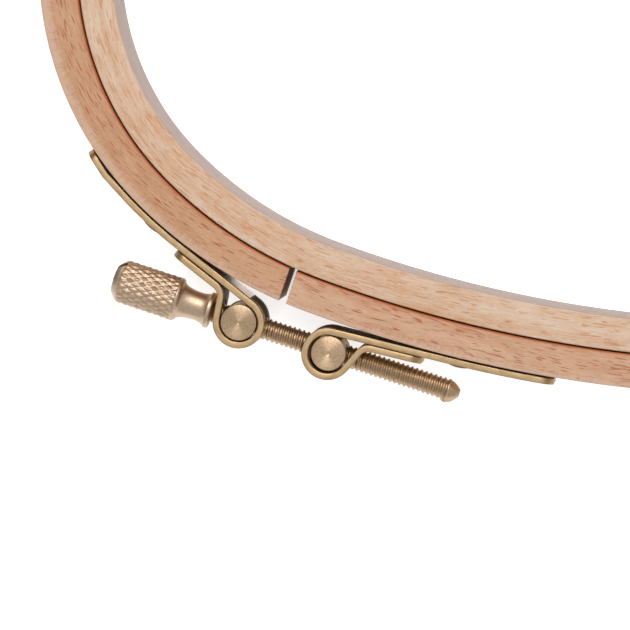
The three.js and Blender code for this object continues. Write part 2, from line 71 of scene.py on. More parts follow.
# Lengths and radii of the turned pieces
COLLAR_GAP = 0.00095
COLLAR_LENGTH = 0.001
COLLAR_RADIUS = 0.0039
NECK_LENGTH = 0.0063
NECK_RADIUS = 0.00305
WAIST_SHARE = 0.62
HEAD_LENGTH = 0.015
HEAD_SHOULDER = 0.0005
CONE_LENGTH = 0.0024
BURR_HEIGHT = 0.00045
DRIVER_SLOT_WIDTH = 0.0013
DRIVER_SLOT_DEPTH = 0.0022
DRIVER_SLOT_TURN = 28 * DEG
NAIL_SHANK = 0.0008
NAIL_GRIP = 0.005
NAIL_SEAT = 0.00015
BARREL_CHAMFER = 0.00022
FOOT_HEIGHT = 0.0012
FOOT_GAP = 0.00006

# Shares of a groove's pitch that stay flat, on its crest and in its root
KNURL_FLATS = (0.06, 0.0)
THREAD_FLATS = (0.2, 0.25)

# The screw-side strap's long leg runs free of the ring, then turns in to the wood
LIFT_FREE = 0.007
LIFT_TIP = 0.006
LIFT_BEND = 10 * DEG

# The setting of a range whose ends are eased
SOFT = {"interpolation_type": "SMOOTHSTEP"}

# Light
FLOOR_GLOW = 0.66
DOME_LIGHT = 0.71
DOME_DIMMING = 0.6


# Colours and properties


def from_hex(code):
    """The linear colour of an sRGB hex value."""
    channels = [int(code[i : i + 2], 16) / 255 for i in (1, 3, 5)]
    return tuple(c / 12.92 if c <= 0.04045 else ((c + 0.055) / 1.055) ** 2.4 for c in channels)


def length(name, millimetres, description):
    """A length that a user can change, given in millimetres and kept in metres."""
    return bpy.props.FloatProperty(
        name=name, description=description, default=millimetres / 1000, unit="LENGTH", precision=5
    )


def angle(name, degrees, description):
    """An angle that a user can change, given in degrees and kept in radians."""
    return bpy.props.FloatProperty(
        name=name, description=description, default=degrees * DEG, unit="ROTATION", subtype="ANGLE"
    )


def colour(name, code, description):
    """A colour that a user can change, given as an sRGB hex value."""
    return bpy.props.FloatVectorProperty(
        name=name, description=description, default=from_hex(code), size=3, subtype="COLOR", min=0, max=1
    )


class HoopSizes(bpy.types.PropertyGroup):
    """Sizes of the hoop's pieces"""

    seam_end_radius: length("Seam end radius", 64.1, "Radius of the seam round the oval's two ends")
    seam_shoulder_radius: length("Seam shoulder radius", 88.6, "Radius of the seam between end and side")
    seam_side_radius: length("Seam side radius", 279.9, "Radius of the seam along the oval's sides")
    end_arc: angle("End arc", 44.7, "Normal direction at which the end arc stops")
    shoulder_arc: angle("Shoulder arc", 25.4, "Turn of the shoulder arc")
    ring_height: length("Ring height", 16, "Height of both wooden rings")
    inner_wall: length("Inner ring wall", 7.2, "Thickness of the inner ring")
    outer_side_wall: length("Outer ring side wall", 7.1, "Thickness of the outer ring along its sides")
    outer_end_wall: length("Outer ring end wall", 8.1, "Thickness of the outer ring round its ends")
    ring_clearance: length("Ring clearance", 0.4, "Gap between the two rings")
    edge_radius: length("Ring edge radius", 0.35, "Rounding of the rings' long edges")
    split_direction: angle("Split direction", 246.5, "Where the outer ring is split")
    split_gap: length("Split gap", 1.6, "Width of the split")
    split_slant: angle("Split slant", 4.9, "Slant of the split's two faces")
    flex_direction: angle("Flex direction", 80, "Where the outer ring is taken to bend")
    flex_gap: length("Flex gap", 0.06, "Width of the fine joint at the bend")
    clamp_direction: angle("Clamp direction", 248.4, "Where the middle of the clamp lies")
    clamp_tilt: angle("Clamp tilt", 2.5, "Turn of the clamp's line from the ring")
    screw_skew: angle("Screw skew", 1.1, "Turn of the screw from the clamp's line")
    clamp_height: length("Clamp height", 9.3, "Height of the screw's axis")
    loop_to_ring: length("Loop to ring", 1.7, "Gap between the folded loops and the outer ring")
    barrel_spacing: length("Barrel spacing", 20, "Distance between the two barrels")
    barrel_diameter: length("Barrel diameter", 7.7, "Diameter of the barrels")
    barrel_recess: length("Barrel recess", 0.9, "How far the nut barrel's faces lie inside its strap")
    thread_diameter: length("Thread diameter", 4.76, "Outside diameter of the screw's thread")
    thread_pitch: length("Thread pitch", 1.058, "Pitch of the thread, 24 turns to the inch")
    thread_depth: length("Thread depth", 0.36, "Depth of the thread's grooves")
    bore_clearance: length("Bore clearance", 0.4, "Gap round the thread in the barrels")
    thread_reach: length("Thread reach", 29, "How far the screw's tip lies past the nut barrel's centre")
    head_diameter: length("Head diameter", 9.5, "Diameter of the knurled head")
    knurl_spacing: length("Knurl spacing", 2.76, "Length of one diamond of the knurl along the head")
    knurl_depth: length("Knurl depth", 0.3, "Depth of the knurl's grooves")
    knurl_starts: bpy.props.IntProperty(
        name="Knurl starts", description="Diamonds round the head", default=24, min=6, max=60
    )
    strap_thickness: length("Strap thickness", 1.4, "Thickness of the brass strip")
    strap_width: length("Strap width", 11, "Width of the brass strip")
    strap_corner: length("Strap corner", 2.5, "Rounding of the strip's corners")
    strap_edge: length("Strap edge", 0.16, "Rounding of the strip's long edges")
    loop_clearance: length("Loop clearance", 0.28, "Gap between a barrel and the loop round it")
    loop_wrap: angle("Loop wrap", 243, "How far the strip turns round its barrel")
    neck_bend: length("Neck bend", 2.8, "Bend radius where the short leg turns along the long one")
    short_leg: length("Short leg", 19.8, "Reach of the short leg from the barrel")
    long_leg: length("Long leg", 47.8, "Length of the long leg")
    strap_to_ring: length("Strap to ring", 0.45, "Gap between the long leg and the outer ring")
    nail_from_loop: length("Nail from loop", 27.4, "Distance of the nails from the barrel, along the leg")
    nail_pitch: length("Nail pitch", 5.6, "Distance between a strap's two nails")
    nail_head: length("Nail head", 4.0, "Diameter of the nail heads")
    nail_dome: length("Nail dome", 0.28, "Height of the nail heads")
    screw_side_fold: length("Screw side fold", 0.25, "Gap between the screw-side strap's two legs")
    nut_side_fold: length("Nut side fold", 0.15, "Gap between the nut-side strap's two legs")
    nut_slack: length("Nut barrel slack", 0.18, "How much thinner the nut barrel is, and how far it lies aside")


class HoopColours(bpy.types.PropertyGroup):
    """Colours of the hoop's finishes"""

    inner_beech: colour("Inner beech", "#D7BEA8", "Pale planed beech of the inner ring")
    inner_streak: colour("Inner streak", "#C48F63", "Darker summer growth in the inner ring")
    # The screw side's beech is darker partly as painted shade, for the light's fall-off across the hoop
    outer_beech: colour("Outer beech", "#C69B7A", "Orange planed beech of the outer ring's screw side")
    outer_streak: colour("Outer streak", "#B07850", "Darker growth in the outer ring's screw side")
    pink_beech: colour("Pink beech", "#CFA98C", "Pinkish planed beech of the outer ring's nut side")
    pink_streak: colour("Pink streak", "#B8805C", "Darker growth in the outer ring's nut side")
    inner_fleck: colour("Inner fleck", "#BE824F", "Tan ray flecks of the inner ring")
    fleck: colour("Fleck", "#A34E2C", "Red-brown ray flecks of the outer ring")
    # Its grey is partly the sawn wood and partly painted shade
    shaded_sawn_beech: colour("Sawn beech", "#BAA295", "Greyish sawn wall inside the inner ring")
    torn_beech: colour("Torn beech", "#D3B8A2", "Pale torn rim of the outer ring")
    seam_brown: colour("Seam brown", "#B4602C", "Warm brown edges along the seam")
    strap_brass: colour("Strap brass", "#D2B48C", "Satin sheet brass of the straps")
    barrel_brass: colour("Barrel brass", "#D6B998", "Bright turned brass of the barrels")
    head_brass: colour("Head brass", "#C3AA92", "Satin brass of the knurled head")
    # Its browner tone is a painted reflection of the light between the thread's ridges
    thread_brass_in_shade: colour("Thread brass", "#B59A7C", "Browner brass of the thread")
    floor: colour("Floor", "#EFF3F8", "Plain pale floor")


# The oval and the clamp, as the solids have them


def direction(radians):
    """The unit vector in the plan at an angle."""
    return Vector((math.cos(radians), math.sin(radians), 0))


def quarter_arcs(sizes):
    """The seam's three arcs in the first quarter: centre, radius and the normal at which each ends."""
    end_join = direction(sizes.end_arc)
    side_join = direction(sizes.end_arc + sizes.shoulder_arc)
    shoulder_growth = sizes.seam_shoulder_radius - sizes.seam_end_radius
    side_growth = sizes.seam_side_radius - sizes.seam_shoulder_radius
    end_centre = Vector((shoulder_growth * end_join.x + side_growth * side_join.x, 0, 0))
    shoulder_centre = end_centre - shoulder_growth * end_join
    side_centre = shoulder_centre - side_growth * side_join
    return [
        (end_centre, sizes.seam_end_radius, sizes.end_arc),
        (shoulder_centre, sizes.seam_shoulder_radius, sizes.end_arc + sizes.shoulder_arc),
        (side_centre, sizes.seam_side_radius, math.pi / 2),
    ]


def oval_point(sizes, radians, offset):
    """The point at a normal direction, moved out from the seam by an offset."""
    normal = direction(radians)
    in_quarter = math.atan2(abs(normal.y), abs(normal.x))
    arcs = quarter_arcs(sizes)
    centre, radius, _ = next((arc for arc in arcs if in_quarter <= arc[2]), arcs[2])
    mirrored = Vector((math.copysign(centre.x, normal.x), math.copysign(1, normal.y) * centre.y, 0))
    return mirrored + (radius + offset) * normal


def outer_ring_outside(sizes, radians):
    """How far the outer ring's outside lies from the seam."""
    share = math.cos(radians) ** 2
    wall = sizes.outer_side_wall + (sizes.outer_end_wall - sizes.outer_side_wall) * share
    return sizes.ring_clearance / 2 + wall


def leg_offset(sizes, radians):
    """How far a strap's centre line lies from the seam on the ring."""
    return outer_ring_outside(sizes, radians) + sizes.strap_to_ring + sizes.strap_thickness / 2


def loop_radius(sizes):
    """Radius of the strip's centre line round a barrel."""
    return sizes.barrel_diameter / 2 + sizes.loop_clearance + sizes.strap_thickness / 2


def clamp_points(sizes):
    """The barrels' centres and the screw's direction in the plan."""
    reach = loop_radius(sizes) + sizes.strap_thickness / 2
    offset = outer_ring_outside(sizes, sizes.clamp_direction) + sizes.loop_to_ring + reach
    middle = oval_point(sizes, sizes.clamp_direction, offset)
    line = sizes.clamp_direction + math.pi / 2 + sizes.clamp_tilt
    half = direction(line) * sizes.barrel_spacing / 2
    return middle - half, middle + half, direction(line + sizes.screw_skew)


# Meshes and node trees


def new_object(name, vertices, faces=(), edges=()):
    """A mesh object at the origin, linked to the scene."""
    mesh = bpy.data.meshes.new(name)
    mesh.from_pydata([tuple(v) for v in vertices], edges, faces)
    mesh.update()
    piece = bpy.data.objects.new(name, mesh)
    bpy.context.scene.collection.objects.link(piece)
    return piece


def store(mesh, name, values):
    """Keeps a number or a vector for each of a mesh's points."""
    values = np.asarray(values, dtype=np.float32)
    kind, field = ("FLOAT_VECTOR", "vector") if values.ndim == 2 else ("FLOAT", "value")
    mesh.attributes.new(name, kind, "POINT").data.foreach_set(field, values.ravel())


def stored(mesh, name):
    """The numbers that a mesh keeps under a name."""
    values = np.zeros(len(mesh.vertices), np.float32)
    mesh.attributes[name].data.foreach_get("value", values)
    return values


def add_node(tree, kind, *values, out=0, **settings):
    """Adds a node with its settings and links. It gives one of the node's outputs, or the node if out is None.

    The kind leaves out ShaderNode and may end in the node's operation. The values, sockets or plain ones, stand in
    the order of the node's inputs, or in one dict by name or place.
    """
    kind, _, operation = kind.partition(" ")
    node = tree.nodes.new(kind if "Node" in kind else "ShaderNode" + kind)
    if operation:
        node.operation = operation
    for name, value in settings.items():
        setattr(node, name, value)
    inputs = values[0] if values and isinstance(values[0], dict) else dict(enumerate(values))
    for key, value in inputs.items():
        socket = node.inputs[key]
        if isinstance(value, bpy.types.NodeSocket):
            tree.links.new(value, socket)
        else:
            socket.default_value = (*value, 1) if socket.type == "RGBA" else value
    return node if out is None else node.outputs[out]


def shape_tree(name, inputs):
    """A tree that takes a geometry and named inputs and gives a geometry, with a short way to add its nodes."""
    tree = bpy.data.node_groups.new(name, "GeometryNodeTree")
    face = tree.interface
    face.new_socket("Geometry", in_out="INPUT", socket_type="NodeSocketGeometry")
    face.new_socket("Geometry", in_out="OUTPUT", socket_type="NodeSocketGeometry")
    for label, kind in {**inputs, "Material": "Material"}.items():
        face.new_socket(label, in_out="INPUT", socket_type="NodeSocket" + kind)
    add = partial(add_node, tree)
    return tree, add, add("NodeGroupInput", out=None).outputs


def end_tree(add, source, geometry):
    """Ends a tree in real faces with their material."""
    real = add("GeometryNodeRealizeInstances", {"Geometry": geometry})
    painted = add("GeometryNodeSetMaterial", {"Geometry": real, "Material": source["Material"]})
    add("NodeGroupOutput", {"Geometry": painted}, out=None)


def plain_mesh(piece):
    """Makes what a piece's modifiers show its own mesh, and takes them off."""
    bpy.context.view_layer.update()
    depsgraph = bpy.context.evaluated_depsgraph_get()
    mesh = bpy.data.meshes.new_from_object(piece.evaluated_get(depsgraph))
    piece.modifiers.clear()
    old = piece.data
    piece.data = mesh
    bpy.data.meshes.remove(old)
    mesh.name = piece.name


def evaluated(piece, tree, values):
    """Runs a tree on a piece and keeps the result as its plain mesh."""
    modifier = piece.modifiers.new(tree.name, "NODES")
    modifier.node_group = tree
    for item in tree.interface.items_tree:
        if item.item_type == "SOCKET" and item.in_out == "INPUT" and item.name in values:
            modifier[item.identifier] = values[item.name]
    plain_mesh(piece)
    return piece


def face_outwards(mesh):
    """Turns a closed mesh's faces outwards."""
    work = bmesh.new()
    work.from_mesh(mesh)
    bmesh.ops.recalc_face_normals(work, faces=work.faces)
    work.to_mesh(mesh)
    work.free()


def finish_piece(piece, body, nodes):
    """Seats a piece on its body, in place of its solids."""
    face_outwards(piece.data)
    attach(piece, body)
    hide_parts(*nodes)


# Wooden rings


def ring_tree():
    """A section swept along a path of points that keep their own place, outward direction and extra wall."""
    inputs = {"Wall": "Float", "Height": "Float", "Edge Radius": "Float", "Closed": "Bool"}
    tree, add, source = shape_tree("swept_ring", inputs)
    vector = {"data_type": "FLOAT_VECTOR"}
    path = add("GeometryNodeMeshToCurve", {"Mesh": source["Geometry"]})
    size = {"Width": source["Wall"], "Height": source["Height"]}
    box = add("GeometryNodeCurvePrimitiveQuadrilateral", size)
    easing = {"Curve": box, "Radius": source["Edge Radius"], "Count": 4}
    eased = add("GeometryNodeFilletCurve", easing, mode="POLY")
    place = add("GeometryNodeInputPosition")
    keeping = {"Geometry": eased, "Name": "section", "Value": place}
    section = add("GeometryNodeStoreNamedAttribute", keeping, domain="POINT", **vector)
    capped = add("Math SUBTRACT", 1.0, source["Closed"])
    sweep = {"Curve": path, "Profile Curve": section, "Fill Caps": capped}
    swept = add("GeometryNodeCurveToMesh", sweep)
    section, outward, slant, spine = [
        add("GeometryNodeInputNamedAttribute", {"Name": name}, out="Attribute", **vector)
        for name in ("section", "outward", "slant", "spine")
    ]
    extra_wall, along, middle = [
        add("GeometryNodeInputNamedAttribute", {"Name": name}, out="Attribute", data_type="FLOAT")
        for name in ("extra_wall", "along", "middle")
    ]
    parts = add("SeparateXYZ", section, out=None).outputs
    outside = add("Math GREATER_THAN", parts[0], 0.0)
    across = add("Math MULTIPLY_ADD", outside, extra_wall, parts[0])
    rise = add("Math MULTIPLY_ADD", source["Height"], 0.5, parts[1])
    spot = add("VectorMath ADD", spine, add("CombineXYZ", {2: rise}))
    for lean in (outward, slant):
        spot = add("VectorMath ADD", spot, add("VectorMath SCALE", {0: lean, "Scale": across}))
    moved = add("GeometryNodeSetPosition", {"Geometry": swept, "Position": spot})
    grain = add("CombineXYZ", along, add("Math ADD", across, middle), rise)
    keeping = {"Geometry": moved, "Name": "grain", "Value": grain}
    kept = add("GeometryNodeStoreNamedAttribute", keeping, domain="CORNER", **vector)
    end_tree(add, source, add("GeometryNodeMergeByDistance", {"Geometry": kept, "Distance": 1e-6}))
    return tree


def build_ring(name, tree, material, sizes, start, stop, inside, wall_at, cut_start=0.0, cut_stop=0.0):
    """A bent strip along the oval from one direction to another, with slanted cuts at its ends if asked."""
    closed = stop - start >= 2 * math.pi - 1e-9
    steps = math.ceil((stop - start) / RING_STEP)
    turns = [start + (stop - start) * i / steps for i in range(steps + 1)]
    base_wall = wall_at(math.pi / 2)
    spine = [oval_point(sizes, turn, inside + base_wall / 2) for turn in turns]
    lengths = np.concatenate([[0], np.cumsum([(b - a).length for a, b in zip(spine, spine[1:])])])
    slants = [Vector()] * (steps + 1)
    slants[0] = direction(turns[0] + math.pi / 2) * math.tan(cut_start)
    slants[-1] = direction(turns[-1] + math.pi / 2) * math.tan(cut_stop)
    path = new_object(name, spine, edges=[(i, i + 1) for i in range(steps)])
    kept = {
        "spine": spine,
        "outward": [direction(turn) for turn in turns],
        "slant": slants,
        "extra_wall": [wall_at(turn) - base_wall for turn in turns],
        "middle": [inside + base_wall / 2] * (steps + 1),
        "along": lengths + start * 0.1,
    }
    for label, value in kept.items():
        store(path.data, label, value)
    values = {
        "Wall": base_wall,
        "Height": sizes.ring_height,
        "Edge Radius": sizes.edge_radius,
        "Closed": closed,
        "Material": material,
    }
    return evaluated(path, tree, values)


# Straps


def leg_leaves_ring(sizes, barrel, turn):
    """Where a long leg leaves the ring, found by halving, and how far it then runs straight to its loop."""
    near = sizes.clamp_direction
    far = near + turn * 40 * DEG
    for _ in range(40):
        middle = (near + far) / 2
        on_ring = oval_point(sizes, middle, leg_offset(sizes, middle))
        if (barrel - on_ring).dot(direction(middle)) > loop_radius(sizes):
            near = middle
        else:
            far = middle
    leaves = (near + far) / 2
    on_ring = oval_point(sizes, leaves, leg_offset(sizes, leaves))
    return leaves, (barrel - direction(leaves) * loop_radius(sizes) - on_ring).length


def walk_leg(sizes, here, step, walked, reach):
    """Points on a leg's centre line, a small turn apart, up to a reach, and the direction of the last one."""
    points = [oval_point(sizes, here, leg_offset(sizes, here))]
    while walked < reach:
        here += step
        points.append(oval_point(sizes, here, leg_offset(sizes, here)))
        walked += (points[-1] - points[-2]).length
    return points, here


def strap_line(sizes, barrel, turn, fold_gap, lifted):
    """The strip's centre line from the long leg's end round the loop to the short leg's end."""
    radius = loop_radius(sizes)
    leaves, straight = leg_leaves_ring(sizes, barrel, turn)
    outward = direction(leaves)
    away = direction(leaves + turn * math.pi / 2)
    loop_start = barrel - outward * radius

    # The long leg, drawn back from the ring's tangent
    follows = sizes.long_leg - straight - (LIFT_FREE + LIFT_TIP if lifted else 0)
    leg, here = walk_leg(sizes, leaves, turn * 0.05 * DEG, 0.0, follows)
    if lifted:
        leg.append(leg[-1] + direction(here + turn * math.pi / 2) * LIFT_FREE)
        leg.append(leg[-1] + direction(here + turn * (math.pi / 2 + LIFT_BEND)) * LIFT_TIP)
    points = leg[::-1]

    # The loop and the short leg, in the leg's own axes: away from the clamp, and out from the ring
    rise = sizes.loop_wrap - math.pi
    run_height = sizes.strap_thickness + fold_gap
    bend_top = run_height + sizes.neck_bend * (1 - math.cos(rise))
    neck_run = (radius * (1 + math.cos(rise)) - bend_top) / math.sin(rise)
    bend_x = radius * math.sin(rise) + neck_run * math.cos(rise) + sizes.neck_bend * math.sin(rise)
    flat = []
    for step in range(161):
        wrap = sizes.loop_wrap * step / 160
        flat.append((-radius * math.sin(wrap), radius * (1 - math.cos(wrap))))
    for step in range(41):
        left = rise * (1 - step / 40)
        height = run_height + sizes.neck_bend * (1 - math.cos(left))
        flat.append((bend_x - sizes.neck_bend * math.sin(left), height))
    flat.append((sizes.short_leg, run_height))
    points += [loop_start + away * x + outward * y for x, y in flat]
    return resampled(points, LINE_STEP)


def resampled(points, step):
    """The same line with its points a step apart."""
    line = np.array([tuple(p) for p in points])
    run = np.concatenate([[0], np.cumsum(np.linalg.norm(np.diff(line, axis=0), axis=1))])
    count = int(round(run[-1] / step))
    at = np.linspace(0, run[-1], count + 1)
    return [Vector([np.interp(s, run, line[:, k]) for k in range(3)]) for s in at]


def window_spans(line, screw_point, screw, half_width):
    """Where along a line the screw's path runs within half a window's width, as pairs of lengths."""
    beside = Vector((-screw.y, screw.x, 0))
    run = np.concatenate([[0], np.cumsum([(b - a).length for a, b in zip(line, line[1:])])])
    inside = [abs((p - screw_point).dot(beside)) < half_width for p in line]
    reach = [abs((p - screw_point).dot(screw)) < WINDOW_REACH for p in line]
    spans = []
    for i in range(1, len(line)):
        now, before = inside[i] and reach[i], inside[i - 1] and reach[i - 1]
        if now and not before:
            spans.append([run[i], run[i]])
        if now:
            spans[-1][1] = run[i]
    return spans, run[-1]


def window_half_height(sizes):
    """Half the height of a strap's windows."""
    return sizes.thread_diameter / 2 + WINDOW_ABOVE


def strap_blank(name, sizes, total, spans, turn):
    """The flat strip: length on X, thickness on Y and width on Z, with round corners and windows."""
    half_height = window_half_height(sizes)
    columns = list(np.arange(0, total, STRIP_STEP)) + [total]
    corner = sizes.strap_corner
    eased = [corner * (1 - math.cos(k * math.pi / 16)) for k in range(1, 8)]
    columns += eased + [total - x for x in eased]
    for low, high in spans:
        rounds = [half_height * (1 - math.cos(k * math.pi / 24)) for k in range(0, 12)]
        columns += [low + x for x in rounds] + [high - x for x in rounds]
    columns = sorted(columns)
    columns = [c for i, c in enumerate(columns) if i == 0 or c - columns[i - 1] > CLOSEST_COLUMNS]
    columns[-1] = total

    def half_width(s):
        near = min(s, total - s)
        if near >= corner:
            return sizes.strap_width / 2
        return sizes.strap_width / 2 - corner + math.sqrt(max(corner**2 - (corner - near) ** 2, 0))

    def hole(s):
        for low, high in spans:
            near = min(s - low, high - s)
            if near > 1e-7:
                if near >= half_height:
                    return half_height
                return math.sqrt(max(half_height**2 - (half_height - near) ** 2, 0))
        return 0.0

    rows = 5
    work = bmesh.new()
    grid = {}
    for i, s in enumerate(columns):
        for part in (-1, 1):
            for j in range(rows):
                across = part * (hole(s) + (half_width(s) - hole(s)) * j / (rows - 1))
                for layer in (-1, 1):
                    y = layer * sizes.strap_thickness / 2
                    grid[i, part, j, layer] = work.verts.new((s, y, across))
    for i in range(len(columns) - 1):
        for part in (-1, 1):
            for j in range(rows - 1):
                for layer in (-1, 1):
                    corners = [(i, j), (i + 1, j), (i + 1, j + 1), (i, j + 1)]
                    work.faces.new([grid[a, part, b, layer] for a, b in corners])
    bmesh.ops.remove_doubles(work, verts=work.verts, dist=1e-6)
    rim = [edge for edge in work.edges if len(edge.link_faces) == 1]
    pairs = {}
    for vertex in work.verts:
        pairs.setdefault((round(vertex.co.x, 7), round(vertex.co.z, 7)), {})[vertex.co.y > 0] = vertex
    for edge in rim:
        if edge.verts[0].co.y < 0:
            continue
        a, b = edge.verts
        low_a = pairs[round(a.co.x, 7), round(a.co.z, 7)][False]
        low_b = pairs[round(b.co.x, 7), round(b.co.z, 7)][False]
        work.faces.new((a, b, low_b, low_a))
    bmesh.ops.recalc_face_normals(work, faces=work.faces)
    sharp = [edge for edge in work.edges if len(edge.link_faces) == 2 and edge.calc_face_angle(0) > 1.0]
    bmesh.ops.bevel(
        work, geom=sharp, offset=sizes.strap_edge, segments=3, profile=0.5, affect="EDGES", clamp_overlap=False
    )
    mesh = bpy.data.meshes.new(name)
    work.to_mesh(mesh)
    work.free()
    shade_strip(mesh, sizes, total, spans, turn)
    piece = bpy.data.objects.new(name, mesh)
    bpy.context.scene.collection.objects.link(piece)
    return piece


def shade_strip(mesh, sizes, total, spans, turn):
    """Keeps the strip's painted shade, dark brown beside the windows, inside the loop and toward the wood, and how
    brown the strip is at its ends.
    """
    face = sizes.strap_thickness / 2 - sizes.strap_edge / 2
    by_window = window_half_height(sizes) + 0.00032
    by_edge = sizes.strap_width / 2 - sizes.strap_edge + 0.00002
    lit_leg = 0.0045 if turn < 0 else -0.005
    # How far round the loop the painted shade reaches, in radians: beside the window, and on the outer face
    window_stop, face_stop, fade = 1.7, 1.1, 0.3
    stained = [0.0] * len(mesh.vertices)
    for i, vertex in enumerate(mesh.vertices):
        s, toward_loop, across = vertex.co
        toward_loop *= turn
        turned = (s - sizes.long_leg) / loop_radius(sizes)
        from_window = s > spans[0][0] - 0.0002
        if from_window and turned < window_stop and across < by_window:
            stained[i] = min((window_stop - turned) / fade, 1)
        elif from_window and turned < face_stop and across < by_edge and toward_loop < -face:
            stained[i] = 0.8 * min((face_stop - turned) / fade, 1)
        elif 0 < turned and s < spans[-1][1] + 0.006 and toward_loop > face:
            stained[i] = 0.9
        elif turned < 0 and toward_loop < -face:
            stained[i] = 0.9 * min(max((sizes.long_leg - s - lit_leg) / 0.005, 0), 1)
        elif turn < 0 and s > total - 0.0013:
            stained[i] = 0.55
    store(mesh, "stained", stained)
    store(mesh, "end", [min(max(0.0026 - min(v.co.x, total - v.co.x), 0) / 0.001, 1) for v in mesh.vertices])


def bending_tree():
    """Bends a flat strip along a centre line: its length follows the line, and its width stands upright."""
    tree, add, source = shape_tree("bent_strip", {"Centre Line": "Object", "Height": "Float"})
    line = add("GeometryNodeObjectInfo", {"Object": source["Centre Line"]}, out="Geometry")
    curve = add("GeometryNodeMeshToCurve", {"Mesh": line})
    place = add("GeometryNodeInputPosition")
    parts = add("SeparateXYZ", place, out=None).outputs
    sample = add("GeometryNodeSampleCurve", {"Curves": curve, "Length": parts[0]}, out=None, mode="LENGTH").outputs
    beside = add("VectorMath NORMALIZE", add("VectorMath CROSS_PRODUCT", (0, 0, 1), sample["Tangent"]))
    aside = add("VectorMath SCALE", {0: beside, "Scale": parts[1]})
    lift = add("CombineXYZ", {2: add("Math ADD", parts[2], source["Height"])})
    spot = add("VectorMath ADD", add("VectorMath ADD", sample["Position"], aside), lift)
    keeping = {"Geometry": source["Geometry"], "Name": "strip", "Value": place}
    kept = add("GeometryNodeStoreNamedAttribute", keeping, data_type="FLOAT_VECTOR", domain="POINT")
    bent = add("GeometryNodeSetPosition", {"Geometry": kept, "Position": spot})
    end_tree(add, source, add("GeometryNodeSetShadeSmooth", {"Geometry": bent}))
    return tree


def build_strap(name, tree, material, sizes, barrel, bore, screw, turn, fold_gap, lifted, slot_reach):
    """A folded strap with its two windows for the screw. The first one starts a little up the long leg."""
    line = strap_line(sizes, barrel, turn, fold_gap, lifted)
    half_width = sizes.thread_diameter / 2 + WINDOW_BESIDE
    spans, total = window_spans(line, bore, screw, half_width)
    centre_line = new_object(name + "_line", line, edges=[(i, i + 1) for i in range(len(line) - 1)])
    spans[0][0] = min(spans[0][0], sizes.long_leg - slot_reach)
    blank = strap_blank(name, sizes, total, spans, turn)
    values = {"Centre Line": centre_line, "Height": sizes.clamp_height, "Material": material}
    strap = evaluated(blank, tree, values)
    bpy.data.objects.remove(centre_line)
    return strap


# Turned pieces


def revolved(name, profile, centre, axis, sides):
    """A turned piece: distances along an axis and radii, closed at both ends on the axis."""
    beside = Vector((-axis.y, axis.x, 0)) if abs(axis.z) < 0.5 else Vector((1, 0, 0))
    up = axis.cross(beside)
    spots = [(profile[0][0], 0.0, 0.0, Vector())]
    for s, radius in profile[1:-1]:
        for k in range(sides):
            theta = 2 * math.pi * k / sides
            spots.append((s, radius, theta, up * math.cos(theta) + beside * math.sin(theta)))
    spots.append((profile[-1][0], 0.0, 0.0, Vector()))
    along, _, turn, radial = zip(*spots)
    vertices = [centre + axis * s + out * radius for s, radius, _, out in spots]
    rows = len(profile) - 2
    last = len(vertices) - 1
    faces = []
    for k in range(sides):
        after = (k + 1) % sides
        faces.append((0, 1 + after, 1 + k))
        base = 1 + (rows - 1) * sides
        faces.append((last, base + k, base + after))
        for row in range(rows - 1):
            a = 1 + row * sides
            faces.append((a + k, a + after, a + sides + after, a + sides + k))
    piece = new_object(name, vertices, faces)
    for label, values in (("along", along), ("turn", turn), ("radial", radial)):
        store(piece.data, label, values)
    return piece


def smooth_by_angle(piece, degrees=32):
    """Shades a piece smooth and keeps its turned edges crisp."""
    mesh = piece.data
    mesh.shade_smooth()
    mesh.set_sharp_from_angle(angle=degrees * DEG)


def cut_away(piece, cutter):
    """Cuts one closed solid out of another."""
    modifier = piece.modifiers.new("cut", "BOOLEAN")
    modifier.operation = "DIFFERENCE"
    modifier.object = cutter
    modifier.solver = "EXACT"
    plain_mesh(piece)
    bpy.data.objects.remove(cutter)


def build_barrel(name, material, sizes, centre, bore, screw, half_length, dimple, slack):
    """A turned barrel with a fine chamfer, a centre mark on each face and a cross bore.

    A slack barrel is turned a little smaller and rests against the side of its loop that the screw pulls on. A low
    foot fills the loop at the bottom end, so no light comes up beside the barrel.
    """
    radius = sizes.barrel_diameter / 2 - slack / 2
    foot = sizes.barrel_diameter / 2 + sizes.loop_clearance - FOOT_GAP
    foot_top = half_length - FOOT_HEIGHT
    face = [(half_length - dimple * (1 - k / 5) ** 2, 0.0006 * k / 5) for k in range(6)]
    face.append((half_length, radius * 0.5))
    edge = [(half_length - BARREL_CHAMFER * s, radius - BARREL_CHAMFER * r) for s, r in ((0, 1.6), (0.3, 0.5), (1, 0))]
    profile = [(-s, r) for s, r in face] + [(-s, r + foot - radius) for s, r in edge]
    profile += [(-foot_top, foot), (-foot_top + 0.0002, radius)] + (face + edge)[::-1]
    aside = direction(25 * DEG) * slack
    middle = Vector((centre.x, centre.y, sizes.clamp_height)) + aside
    barrel = revolved(name, profile, middle, UP, 96)
    for vertex in barrel.data.vertices:
        if vertex.co.z < sizes.clamp_height - foot_top + 0.0001:
            vertex.co -= aside
    barrel.data.materials.append(material)
    bore_radius = sizes.thread_diameter / 2 + sizes.bore_clearance
    reach = sizes.barrel_diameter
    cutter_profile = [(-reach, 0.0), (-reach, bore_radius), (reach, bore_radius), (reach, 0.0)]
    at = Vector((bore.x, bore.y, sizes.clamp_height))
    cut_away(barrel, revolved("bore", cutter_profile, at, screw, 64))
    smooth_by_angle(barrel)
    return barrel


